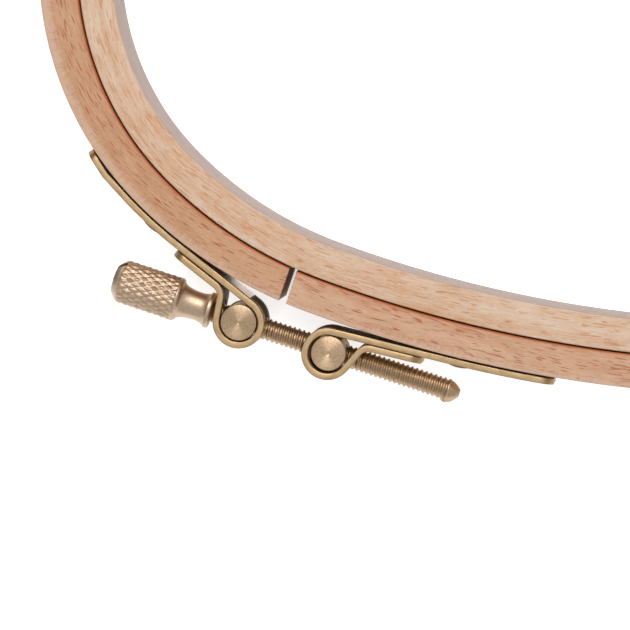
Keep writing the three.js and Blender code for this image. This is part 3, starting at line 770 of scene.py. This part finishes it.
def screw_profile(sizes):
    """The thumb screw's outline: distances from the screw-side barrel and radii, from crown to tip."""
    collar_face = -(loop_radius(sizes) + sizes.strap_thickness / 2 + COLLAR_GAP)
    neck_end = collar_face - COLLAR_LENGTH
    head_end = neck_end - NECK_LENGTH
    crown = head_end - HEAD_LENGTH
    head, thread = sizes.head_diameter / 2, sizes.thread_diameter / 2
    tip = sizes.barrel_spacing + sizes.thread_reach

    # The crown: a shallow dome, then a rounded bevel out to the head
    points = [(crown + 0.00022 * (k / 6) ** 2, 0.0027 * k / 6) for k in range(7)]
    bevel = ((45, 310), (70, 340), (110, 383), (150, 425), (172, 446), (192, 460), (215, 469))
    points += [(crown + s * 1e-5, radius * 1e-5) for s, radius in bevel]
    knurl_start = crown + 0.0024
    points.append((knurl_start, head))
    knurled = head_end - 0.0006 - knurl_start
    rows = int(knurled / 0.00013)
    points += [(knurl_start + knurled * k / rows, head) for k in range(1, rows + 1)]

    # The waisted neck and the collar
    shoulder = head - HEAD_SHOULDER
    points += [(head_end - 0.0003, head - 0.0002), (head_end, shoulder)]
    waist = head_end + NECK_LENGTH * WAIST_SHARE
    quarter = [math.pi / 2 * k / 24 for k in range(1, 25)]
    for turned in quarter:
        radius = NECK_RADIUS + (shoulder - NECK_RADIUS) * (1 - math.sin(turned))
        points.append((head_end + (waist - head_end) * (1 - math.cos(turned)), radius))
    for turned in quarter:
        radius = NECK_RADIUS + (COLLAR_RADIUS - NECK_RADIUS) * (1 - math.cos(turned))
        points.append((waist + (neck_end - waist) * math.sin(turned), radius))
    for turned in quarter[2::3]:
        points.append((collar_face - 0.0006 * (1 - math.sin(turned)), COLLAR_RADIUS - 0.0006 * (1 - math.cos(turned))))
    points += [(collar_face, thread + 0.0002), (collar_face + 0.0001, thread - 0.0004)]

    # The thread, with eight rows to its pitch, and the blunt cone
    start, stop = collar_face + 0.0006, tip - CONE_LENGTH
    rows = int((stop - start) / (sizes.thread_pitch / 8))
    points += [(start + (stop - start) * k / rows, thread) for k in range(rows + 1)]
    for k in range(1, 13):
        share = k / 12
        points.append((stop + CONE_LENGTH * share, (thread - 0.0002) * (1 - 0.62 * share**1.7)))
    points.append((tip, 0.0))
    return points, (knurl_start, head_end - 0.0007), (start, stop)


def relief_tree():
    """Sinks the knurl's two families of grooves and the thread's helix into a turned surface."""
    names = ("Knurl Spacing", "Knurl Starts", "Knurl Depth", "Thread Pitch", "Thread Depth")
    tree, add, source = shape_tree("turned_relief", {name: "Float" for name in names})
    along, turn, knurled, threaded, burr = [
        add("GeometryNodeInputNamedAttribute", {"Name": name}, out="Attribute", data_type="FLOAT")
        for name in ("along", "turn", "knurl", "thread", "burr")
    ]
    lap = add("Math DIVIDE", turn, 2 * math.pi)
    rows = add("Math DIVIDE", along, source["Knurl Spacing"])
    columns = add("Math MULTIPLY", lap, source["Knurl Starts"])

    def groove(value, crest, root):
        """1 along a groove's root and 0 on the crest between two, each with its share of flat."""
        wave = add("Math MULTIPLY", add("Math PINGPONG", value, 0.5), 2.0)
        return add("Math DIVIDE", add("Math SUBTRACT", wave, crest), 1 - crest - root, use_clamp=True)

    left = groove(add("Math ADD", rows, columns), *KNURL_FLATS)
    right = groove(add("Math SUBTRACT", rows, columns), *KNURL_FLATS)
    deepest = add("Math MAXIMUM", left, right)
    knurl = add("Math MULTIPLY", add("Math MULTIPLY", deepest, knurled), source["Knurl Depth"])
    turns = add("Math DIVIDE", along, source["Thread Pitch"])
    thread = groove(add("Math ADD", turns, lap), *THREAD_FLATS)
    thread = add("Math MULTIPLY", add("Math MULTIPLY", thread, threaded), source["Thread Depth"])
    sunk = add("Math MULTIPLY", add("Math ADD", knurl, thread), -1.0)
    sunk = add("Math MULTIPLY_ADD", burr, BURR_HEIGHT, sunk)
    radial = {"Name": "radial"}
    radial = add("GeometryNodeInputNamedAttribute", radial, out="Attribute", data_type="FLOAT_VECTOR")
    offset = add("VectorMath SCALE", {0: radial, "Scale": sunk})
    keeping = {"Geometry": source["Geometry"], "Name": "sunk", "Value": deepest}
    kept = add("GeometryNodeStoreNamedAttribute", keeping, data_type="FLOAT", domain="POINT")
    moved = add("GeometryNodeSetPosition", {"Geometry": kept, "Offset": offset})
    end_tree(add, source, add("GeometryNodeSetShadeSmooth", {"Geometry": moved}))
    return tree


def build_thumb_screw(material, sizes, barrel, screw):
    """The thumb screw: knurled head with its driver slot, neck, collar and thread, turned from one bar."""
    profile, (knurl_from, knurl_to), (thread_from, thread_to) = screw_profile(sizes)
    centre = Vector((barrel.x, barrel.y, sizes.clamp_height))
    piece = revolved("thumb_screw_turned", profile, centre, screw, 168)
    along, turn = stored(piece.data, "along"), stored(piece.data, "turn")
    fade = 0.0005
    knurl = np.clip((along - knurl_from + 0.0012) / 0.0012, 0, 1) * np.clip((knurl_to - along) / fade, 0, 1)
    thread = np.clip((along - thread_from) / fade, 0, 1) * np.clip((thread_to - along) / fade, 0, 1)
    from_burr = np.angle(np.exp(1j * (turn - 1.5 * math.pi)))
    burr = np.exp(-((from_burr / 0.28) ** 2)) * np.exp(-(((along - profile[-1][0] + 0.0021) / 0.0015) ** 4))
    for label, field in (("knurl", knurl), ("thread", thread * (1 - burr)), ("burr", burr)):
        store(piece.data, label, field)
    values = {
        "Knurl Spacing": sizes.knurl_spacing,
        "Knurl Starts": float(sizes.knurl_starts),
        "Knurl Depth": sizes.knurl_depth,
        "Thread Pitch": sizes.thread_pitch,
        "Thread Depth": sizes.thread_depth,
        "Material": material,
    }
    evaluated(piece, relief_tree(), values)

    # The driver slot across the crown
    beside = Vector((-screw.y, screw.x, 0))
    wide = beside * math.cos(DRIVER_SLOT_TURN) + UP * math.sin(DRIVER_SLOT_TURN)
    deep = screw.cross(wide)
    corners = []
    for s in (profile[0][0] - 0.001, profile[0][0] + DRIVER_SLOT_DEPTH):
        for a in (-0.006, 0.006):
            for b in (-DRIVER_SLOT_WIDTH / 2, DRIVER_SLOT_WIDTH / 2):
                corners.append(centre + screw * s + wide * a + deep * b)
    faces = [(0, 1, 3, 2), (4, 6, 7, 5), (0, 4, 5, 1), (2, 3, 7, 6), (0, 2, 6, 4), (1, 5, 7, 3)]
    cutter = new_object("driver_slot", corners, faces)
    face_outwards(cutter.data)
    cut_away(piece, cutter)
    smooth_by_angle(piece, 40)
    return piece


# Nails


def nail_tree():
    """Sets a nail on each point, turned to the point's own direction."""
    tree, add, source = shape_tree("nails", {"Nail": "Object"})
    nail = add("GeometryNodeObjectInfo", {"Object": source["Nail"]}, out="Geometry")
    outward = {"Name": "outward"}
    outward = add("GeometryNodeInputNamedAttribute", outward, out="Attribute", data_type="FLOAT_VECTOR")
    turned = add("FunctionNodeAlignRotationToVector", {"Vector": outward}, axis="Z")
    points = add("GeometryNodeMeshToPoints", {"Mesh": source["Geometry"]})
    placing = {"Points": points, "Instance": nail, "Rotation": turned}
    end_tree(add, source, add("GeometryNodeInstanceOnPoints", placing))
    return tree


def build_nails(name, tree, material, sizes, barrel, turn):
    """The two domed nails of one strap, through it and into the wood."""
    leaves, straight = leg_leaves_ring(sizes, barrel, turn)
    _, here = walk_leg(sizes, leaves, turn * 0.02 * DEG, straight, sizes.nail_from_loop)
    seat = leg_offset(sizes, here) + sizes.strap_thickness / 2 + NAIL_SEAT
    heights = [sizes.clamp_height + side * sizes.nail_pitch / 2 for side in (1, -1)]
    points = new_object(name, [oval_point(sizes, here, seat) + UP * height for height in heights])
    store(points.data, "outward", [direction(here)] * 2)
    head, dome = sizes.nail_head / 2, sizes.nail_dome
    grip = sizes.strap_to_ring + sizes.strap_thickness + NAIL_SEAT + NAIL_GRIP
    profile = [(-grip, 0.0), (-grip + 0.0016, NAIL_SHANK), (0.0, NAIL_SHANK), (0.0, head - 0.00015)]
    profile += [(dome * (1 - (1 - k / 8) ** 2) + 0.0001, head * (1 - k / 8)) for k in range(0, 8)]
    profile += [(dome + 0.0001, 0.0)]
    nail = revolved("nail_pattern", profile, Vector(), UP, 40)
    smooth_by_angle(nail)
    piece = evaluated(points, tree, {"Nail": nail, "Material": material})
    bpy.data.objects.remove(nail)
    return piece


# Finishes


def new_material(name):
    """A node material, with a short way to add its nodes."""
    material = bpy.data.materials.new(name)
    material.use_nodes = True
    material.node_tree.nodes.clear()
    return material, partial(add_node, material.node_tree)


def surface(add, relief, strength, depth, inputs):
    """Ends a material's tree: its shader and a fine relief."""
    raised = add("Bump", {"Height": relief, "Strength": strength, "Distance": depth})
    add("OutputMaterial", add("BsdfPrincipled", {**inputs, "Normal": raised}), out=None)


def stretched_noise(add, vector, scale, detail=2.0, seed=0.0):
    """Noise on a vector whose axes are scaled, in parts to the metre."""
    shifted = add("VectorMath MULTIPLY_ADD", vector, scale, (seed, seed, seed))
    return add("TexNoise", {"Vector": shifted, "Scale": 1.0, "Detail": detail})


def layered(add, base, *layers):
    """A colour with others laid over it, each given with its mask and its strength."""
    for mask, strength, tone in layers:
        share = add("Math MULTIPLY", mask, strength)
        base = add("Mix", {0: share, 6: base, 7: tone}, out=2, data_type="RGBA")
    return base


def darker(base, *shares):
    """A colour with each channel cut down to a share."""
    return tuple(channel * share for channel, share in zip(base, shares))


def beech(name, pale, dark, fleck, lean, seed, height, torn=None, seam=None, sawn=None):
    """Planed beech. Its growth runs along the bent strip, with short red-brown ray flecks of 1 to 3 mm.

    The flecks lean across the strip, because the plank was cut a few degrees off its growth.
    """
    material, add = new_material(name)
    grain = add("Attribute", attribute_name="grain", out="Vector")
    along, across, up = add("SeparateXYZ", grain, out=None).outputs

    def noise(vector, scale, detail, shift):
        return stretched_noise(add, vector, scale, detail, seed + shift)

    # The growth wanders by a millimetre over a few centimetres
    wander = add("Math MULTIPLY_ADD", noise(grain, (28, 60, 60), 1.0, 0), 0.003, -0.0015)
    leaning = add("Math ADD", across, add("Math MULTIPLY_ADD", along, lean, wander))
    lie = add("CombineXYZ", along, leaning, up)

    bands = noise(grain, (24, 420, 160), 3.0, 3)
    fibres = noise(lie, (230, 3000, 2200), 3.0, 7)
    specks = noise(lie, (1100, 3800, 3000), 2.0, 9)
    tone = add("Math MULTIPLY", noise(grain, (170, 260, 260), 2.0, 5), 0.3)
    for pattern, share in ((bands, 0.45), (fibres, 0.5), (specks, 0.35)):
        tone = add("Math MULTIPLY_ADD", pattern, share, tone)

    # Warm streaks, 5 to 15 mm long, that keep to some bands of the growth
    streaks = add("MapRange", noise(lie, (120, 3500, 2300), 1.0, 13), 0.58, 0.73, **SOFT)
    warm = add("Math MULTIPLY", streaks, add("MapRange", bands, 0.4, 0.6))

    # Ray flecks, 2 to 3 mm by 0.25 mm
    rays = noise(lie, (380, 3900, 2900), 0.0, 17)
    limit = add("Math MULTIPLY_ADD", noise(grain, (90, 330, 330), 1.0, 19), -0.22, 0.775)
    over = add("Math MULTIPLY", add("Math SUBTRACT", rays, limit), 14.0, use_clamp=True)
    growth = add("MapRange", tone, 0.64, 1.06)
    base = layered(add, pale, (growth, 1.0, dark), (warm, 0.75, dark), (over, 0.75, fleck))

    # The outer ring's rim is torn pale, with short scratches across it, and its seam edges are a warm brown
    if torn:
        rim = add("Math MULTIPLY_ADD", noise(grain, (2300, 420, 900), 3.0, 23), 0.0030, across)
        rim = add("MapRange", rim, 0.0069, 0.0088, **SOFT)
        cuts = add("MapRange", noise(grain, (2500, 260, 400), 1.0, 29), 0.62, 0.7)
        cuts = add("Math MULTIPLY", cuts, add("MapRange", across, 0.0052, 0.0066))
        from_middle = add("Math ABSOLUTE", add("Math SUBTRACT", up, height / 2))
        stain = add("MapRange", across, 0.00040, 0.00064, 1.0, 0.0, **SOFT)
        edges = add("MapRange", from_middle, height / 2 - 0.0022, height / 2 - 0.0012)
        stain = add("Math MULTIPLY", stain, edges)
        base = layered(add, base, (rim, 0.55, torn), (cuts, 0.25, dark), (stain, 0.9, seam))

    # The inner ring's inside wall was only sawn, with fine marks along it, and is greyer and darker: partly its own
    # sawn tone and partly painted shade
    if sawn:
        marks = add("MapRange", noise(grain, (170, 100, 2500), 3.0, 31), 0.35, 0.75)
        wall = layered(add, sawn, (marks, 1.0, darker(sawn, 0.68, 0.68, 0.68)))
        inside = add("MapRange", across, -0.00738, -0.00715, 1.0, 0.0)
        base = layered(add, base, (inside, 1.0, wall))
    relief = add("Math MULTIPLY_ADD", over, -0.6, add("Math ADD", fibres, specks))
    surface(add, relief, 0.5, 0.00012, {"Base Color": base, "Roughness": 0.6, "IOR": 1.45})
    return material


def sheet_brass(name, base):
    """Rolled and sheared sheet brass: satin, with fine lines along the strip and light tarnish."""
    material, add = new_material(name)
    strip = add("Attribute", attribute_name="strip", out="Vector")
    end = add("Attribute", attribute_name="end", out="Fac")
    stained = add("Attribute", attribute_name="stained", out="Fac")
    lines = stretched_noise(add, strip, (160, 4200, 4200), 2.0, 2.0)
    patches = stretched_noise(add, strip, (420, 1100, 520), 3.0, 9.0)
    tarnish = add("MapRange", patches, 0.42, 0.75, **SOFT)
    drawn = add("MapRange", lines, 0.45, 0.75)

    # The rolled faces are smoother than the sheared edges, and a painted dark reflection, in brown, lines their corners
    parts = add("SeparateXYZ", strip, out=None).outputs
    rolled = add("MapRange", add("Math ABSOLUTE", parts[1]), 0.00045, 0.00062, **SOFT)
    corner = add("Math MULTIPLY", rolled, add("MapRange", add("Math ABSOLUTE", parts[2]), 0.0050, 0.0054))

    # Painted shade, a dull dark brown that is rough and not metallic, lies beside the punched windows, inside the loops
    # and toward the wood
    dark, brown = darker(base, 0.5, 0.42, 0.3), darker(base, 0.12, 0.08, 0.045)
    layers = ((tarnish, 0.5, dark), (drawn, 0.5, dark), (corner, 0.8, dark), (end, 0.8, dark), (stained, 0.9, brown))
    tone = layered(add, base, *layers)
    metallic = add("Math MULTIPLY_ADD", stained, -0.95, 1.0)
    rough = add("Math MULTIPLY_ADD", rolled, -0.24, add("Math MULTIPLY_ADD", patches, 0.2, 0.3))
    rough = add("Math MAXIMUM", rough, add("Math MULTIPLY", stained, 0.65))
    surface(add, lines, 0.35, 0.00004, {"Base Color": tone, "Metallic": metallic, "Roughness": rough})
    return material


def turned_brass(name, base, centre):
    """Brass faced on a lathe: bright, with tool rings round the centre that fan the light out."""
    material, add = new_material(name)
    place = add("TexCoord", out="Object")
    flat = add("VectorMath MULTIPLY", add("VectorMath SUBTRACT", place, tuple(centre)), (1, 1, 0))
    radius = add("CombineXYZ", add("VectorMath LENGTH", flat, out=1))
    rings = stretched_noise(add, radius, (4200, 1, 1), 2.0, 1.0)
    mottle = stretched_noise(add, place, (2300, 2300, 2300), 3.0, 4.0)
    dark = darker(base, 0.66, 0.58, 0.48)
    tool_marks, spots = add("MapRange", rings, 0.4, 0.75), add("MapRange", mottle, 0.45, 0.72)
    inputs = {
        "Base Color": layered(add, base, (tool_marks, 0.35, dark), (spots, 0.8, dark)),
        "Metallic": 1.0,
        "Roughness": 0.36,
        "Anisotropic": 0.75,
        "Anisotropic Rotation": 0.25,
        "Tangent": add("Tangent", direction_type="RADIAL", axis="Z"),
    }
    surface(add, rings, 0.45, 0.00004, inputs)
    return material


def screw_brass(name, head, thread, crown):
    """Turned and knurled brass: a paler satin head, and a browner thread, its brown a painted reflection of the light
    between the thread's ridges.
    """
    material, add = new_material(name)
    place = add("TexCoord", out="Object")
    labels = ("along", "sunk", "knurl")
    along, sunk, knurled = [add("Attribute", attribute_name=label, out="Fac") for label in labels]
    on_thread = add("MapRange", along, -0.0068, -0.0058)
    # The knurl is darker deep in its grooves
    deep_in_knurl = add("Math MULTIPLY", add("MapRange", sunk, 0.5, 1.0), knurled)
    mottle = stretched_noise(add, place, (1800, 1800, 1800), 3.0, 6.0)
    spots, wear_and_shade = add("MapRange", mottle, 0.45, 0.8), add("MapRange", mottle, 0.4, 0.75)
    dark_head, dark_thread = darker(head, 0.5, 0.43, 0.36), darker(thread, 0.45, 0.38, 0.31)
    # The thread is painted browner, a painted reflection between its ridges, with a mottle of wear over it
    thread_shaded = layered(add, thread, (wear_and_shade, 0.4, dark_thread))

    # The crown's far side is dull and painted dark brown: a painted dark reflection of the dim surroundings at a
    # grazing view
    radial = add("Attribute", attribute_name="radial", out="Vector")
    far_side = add("MapRange", add("SeparateXYZ", radial, out=1), -0.75, 0.1)
    rim = add("MapRange", along, crown + 0.0009, crown + 0.0018, 1.0, 0.0, **SOFT)
    rim = add("Math MULTIPLY", rim, far_side)
    layers = ((deep_in_knurl, 0.35, dark_head), (spots, 0.4, dark_head), (on_thread, 1.0, thread_shaded))
    rough = add("Math MULTIPLY_ADD", on_thread, -0.03, add("Math MULTIPLY_ADD", mottle, 0.2, 0.33))
    inputs = {
        "Base Color": layered(add, head, *layers, (rim, 0.85, darker(dark_head, 0.45, 0.45, 0.45))),
        "Metallic": add("Math MULTIPLY_ADD", rim, -0.85, 1.0),
        "Specular IOR Level": add("Math MULTIPLY_ADD", rim, -0.4, 0.5),
        "Roughness": rough,
    }
    tool_lines = stretched_noise(add, add("CombineXYZ", along), (4500, 1, 1), 2.0, 5.0)
    surface(add, tool_lines, 0.4, 0.00004, inputs)
    return material


# Operators: one for each piece or group of like pieces


class HOOP_OT_rings(bpy.types.Operator):
    """Builds the inner ring and the two parts of the outer ring"""

    bl_idname = "hoop.rings"
    bl_label = "Wooden rings"

    def execute(self, context):
        sizes, colours = context.scene.hoop_sizes, context.scene.hoop_colours
        half_gap = sizes.ring_clearance / 2
        split_gap = sizes.split_gap / 2 / sizes.seam_shoulder_radius
        flex_gap = sizes.flex_gap / 2 / sizes.seam_side_radius
        flex, split, slant = sizes.flex_direction, sizes.split_direction, sizes.split_slant
        pale = (colours.inner_beech, colours.inner_streak, colours.inner_fleck)
        # The screw side's tones are darker than the nut side's: partly the wood, partly painted shade for the light's
        # fall-off
        orange_in_shade = (colours.outer_beech, colours.outer_streak, colours.fleck)
        pink = (colours.pink_beech, colours.pink_streak, colours.fleck)
        outside = {"torn": colours.torn_beech, "seam": colours.seam_brown}

        def inner_wall(turn):
            return sizes.inner_wall

        def outer_wall(turn):
            return outer_ring_outside(sizes, turn) - half_gap

        # The arc, the inside and the wall, and the slants of both cuts
        shapes = {
            "inner_ring": (0.0, 2 * math.pi, -half_gap - sizes.inner_wall, inner_wall),
            "outer_ring_screw_side": (flex + flex_gap, split - split_gap, half_gap, outer_wall, 0.0, slant),
            "outer_ring_nut_side": (split + split_gap, flex + 2 * math.pi - flex_gap, half_gap, outer_wall, slant, 0.0),
        }
        # The finish with its three colours, lean, seed and marks, then the body and the slot
        finishes = {
            "inner_ring": ("pale", pale, 0.03, 0.0, {"sawn": colours.shaded_sawn_beech}, "inner_ring", "inner_beech"),
            "outer_ring_screw_side": ("screw_side", orange_in_shade, 0.11, 31.0, outside, "outer_ring", "outer_beech"),
            "outer_ring_nut_side": ("nut_side", pink, -0.04, 53.0, outside, "outer_ring_free_end", "outer_beech"),
        }
        tree = ring_tree()
        for node, shape in shapes.items():
            finish, tones, lean, seed, marks, body, slot = finishes[node]
            wood = beech("planed_beech_" + finish, *tones, lean, seed, sizes.ring_height, **marks)
            finish_piece(build_ring(node + "_bent", tree, wood, sizes, *shape), body, [node])
        return {"FINISHED"}


class HOOP_OT_straps(bpy.types.Operator):
    """Builds the two folded brass straps and their nails"""

    bl_idname = "hoop.straps"
    bl_label = "Straps and nails"

    def execute(self, context):
        sizes, colours = context.scene.hoop_sizes, context.scene.hoop_colours
        first, second, screw = clamp_points(sizes)
        bore = first + screw * sizes.barrel_spacing
        brass = sheet_brass("sheet_brass", tuple(colours.strap_brass))
        tree = bending_tree()
        nails = nail_tree()
        # Side, barrel, bore, turn, fold, whether it is lifted, how far the first window starts up the leg, and body
        sides = [
            ("screw_side", first, first, -1, sizes.screw_side_fold, True, 0.0012, "outer_ring"),
            ("nut_side", second, bore, 1, sizes.nut_side_fold, False, 0.002, "outer_ring_free_end"),
        ]
        for side, barrel, hole, turn, fold_gap, lifted, slot_reach, body in sides:
            place = (barrel, hole, screw, turn)
            strap = build_strap(side + "_strap_folded", tree, brass, sizes, *place, fold_gap, lifted, slot_reach)
            finish_piece(strap, body, [side + "_strap"])
            pair = build_nails(side + "_nails_domed", nails, brass, sizes, barrel, turn)
            finish_piece(pair, body, [side + "_upper_nail", side + "_lower_nail"])
        return {"FINISHED"}


class HOOP_OT_barrels(bpy.types.Operator):
    """Builds the two turned barrels"""

    bl_idname = "hoop.barrels"
    bl_label = "Barrels"

    def execute(self, context):
        sizes, colours = context.scene.hoop_sizes, context.scene.hoop_colours
        first, second, screw = clamp_points(sizes)
        bore = first + screw * sizes.barrel_spacing
        half = sizes.strap_width / 2
        # Name, share of the brass's brightness (the screw barrel's smaller share is painted shade), barrel, bore, half
        # length, depth of the centre mark and slack
        rows = [
            ("screw_barrel", 0.85, first, first, half, 0.00008, 0.0),
            ("nut_barrel", 1.0, second, bore, half - sizes.barrel_recess, 0.0004, sizes.nut_slack),
        ]
        for name, wear_and_shade, centre, hole, half_length, dimple, slack in rows:
            brass = turned_brass("turned_brass_" + name, darker(colours.barrel_brass, wear_and_shade, wear_and_shade, wear_and_shade), centre)
            place = (centre, hole, screw)
            barrel = build_barrel(name + "_turned", brass, sizes, *place, half_length, dimple, slack)
            finish_piece(barrel, name, [name])
        return {"FINISHED"}


class HOOP_OT_thumb_screw(bpy.types.Operator):
    """Builds the thumb screw"""

    bl_idname = "hoop.thumb_screw"
    bl_label = "Thumb screw"

    def execute(self, context):
        sizes, colours = context.scene.hoop_sizes, context.scene.hoop_colours
        first, _, screw = clamp_points(sizes)
        crown = screw_profile(sizes)[0][0][0]
        brass = screw_brass("knurled_brass", tuple(colours.head_brass), tuple(colours.thread_brass_in_shade), crown)
        finish_piece(build_thumb_screw(brass, sizes, first, screw), "thumb_screw", ["thumb_screw"])
        return {"FINISHED"}


class HOOP_OT_stage(bpy.types.Operator):
    """Sets the floor, the light and the camera"""

    bl_idname = "hoop.stage"
    bl_label = "Stage"

    def execute(self, context):
        scene = context.scene
        make_floor(scene.hoop_colours.floor)
        make_light(scene)
        make_camera(scene)
        scene.view_settings.view_transform = "Standard"
        return {"FINISHED"}


def seen_directly(add, off_metal):
    """1 for the rays that show a backdrop: from the camera and through glass, and those off metal to a share."""
    ray = add("LightPath", out=None).outputs
    seen = add("Math MAXIMUM", ray["Is Camera Ray"], ray["Is Transmission Ray"])
    return add("Math MULTIPLY_ADD", ray["Is Glossy Ray"], off_metal, seen, use_clamp=True)


def make_floor(base):
    """A wide pale floor. Seen directly or in metal it is lit up to white, less the object's shadow."""
    side, drop = 3.0, 0.00005
    corners = [(x * side, y * side, -drop) for x, y in ((-1, -1), (1, -1), (1, 1), (-1, 1))]
    floor = new_object("floor", corners, [(0, 1, 2, 3)])
    material, add = new_material("pale_floor")
    glow = add("Emission", {"Strength": add("Math MULTIPLY", seen_directly(add, 1.0), FLOOR_GLOW)})
    add("OutputMaterial", add("AddShader", add("BsdfDiffuse", base), glow), out=None)
    floor.data.materials.append(material)


def make_light(scene):
    """A soft dome that is dimmer low down on the far side, and one large lamp. The backdrop is seen as white.

    Metal sees the dome above the horizon, and white below it, past the floor's edge.
    """
    world = bpy.data.worlds.new("studio")
    scene.world = world
    world.use_nodes = True
    world.node_tree.nodes.clear()
    add = partial(add_node, world.node_tree)
    way = add("TexCoord", out="Generated")
    far_side = add("VectorMath DOT_PRODUCT", way, (-0.35, 0.75, -0.56), out=1)
    dome = add("Math MULTIPLY_ADD", add("MapRange", far_side, -0.25, 0.55, **SOFT), -DOME_DIMMING, DOME_LIGHT)
    below = add("Math LESS_THAN", add("SeparateXYZ", way, out=2), 0.0)
    level = add("Math MAXIMUM", dome, seen_directly(add, below))
    add("OutputWorld", add("Background", (1, 1, 1), level), out=None)
    aim, distance = Vector((-0.1, -0.05, 0.01)), 1.3
    key = bpy.data.lights.new("key", "AREA")
    key.shape = "DISK"
    key.size = 1.1
    key.energy = 11.5
    lamp = bpy.data.objects.new("key", key)
    toward = Vector((0.05, 0.6, 0.8)).normalized()
    lamp.location = aim + toward * distance
    lamp.rotation_euler = (-toward).to_track_quat("-Z", "Y").to_euler()
    scene.collection.objects.link(lamp)


def make_camera(scene):
    """The photograph's view: from above, with the hoop's plain end out of the frame."""
    eye = Vector((0.03879, 0.02745, 1.319))
    target = Vector((-0.09611, -0.07365, 0.016))
    data = bpy.data.cameras.new("camera")
    data.lens = 355
    data.sensor_width = 36
    data.clip_start = 0.05
    data.clip_end = 20
    camera = bpy.data.objects.new("camera", data)
    scene.collection.objects.link(camera)
    back = (eye - target).normalized()
    upward = (Vector((0, 1, 0)) - back * back.y).normalized()
    across = upward.cross(back)
    rows = [(across[i], upward[i], back[i], eye[i]) for i in range(3)] + [(0, 0, 0, 1)]
    camera.matrix_world = Matrix(rows)
    scene.camera = camera


class HOOP_PT_panel(bpy.types.Panel):
    """The hoop's pieces and sizes"""

    bl_idname = "HOOP_PT_panel"
    bl_label = "Embroidery hoop"
    bl_space_type = "VIEW_3D"
    bl_region_type = "UI"
    bl_category = "Hoop"

    def draw(self, context):
        for operator in OPERATORS:
            self.layout.operator(operator.bl_idname)
        for group in (context.scene.hoop_sizes, context.scene.hoop_colours):
            column = self.layout.column()
            for name in type(group).__annotations__:
                column.prop(group, name)


OPERATORS = (HOOP_OT_rings, HOOP_OT_straps, HOOP_OT_barrels, HOOP_OT_thumb_screw, HOOP_OT_stage)
CLASSES = (HoopSizes, HoopColours, *OPERATORS, HOOP_PT_panel)


def register():
    for each in CLASSES:
        bpy.utils.register_class(each)
    bpy.types.Scene.hoop_sizes = bpy.props.PointerProperty(type=HoopSizes)
    bpy.types.Scene.hoop_colours = bpy.props.PointerProperty(type=HoopColours)


def unregister():
    del bpy.types.Scene.hoop_colours
    del bpy.types.Scene.hoop_sizes
    for each in reversed(CLASSES):
        bpy.utils.unregister_class(each)


def main():
    register()
    bpy.ops.hoop.rings()
    bpy.ops.hoop.straps()
    bpy.ops.hoop.barrels()
    bpy.ops.hoop.thumb_screw()
    bpy.ops.hoop.stage()
    bpy.context.view_layer.update()


if __name__ == "__main__":
    main()
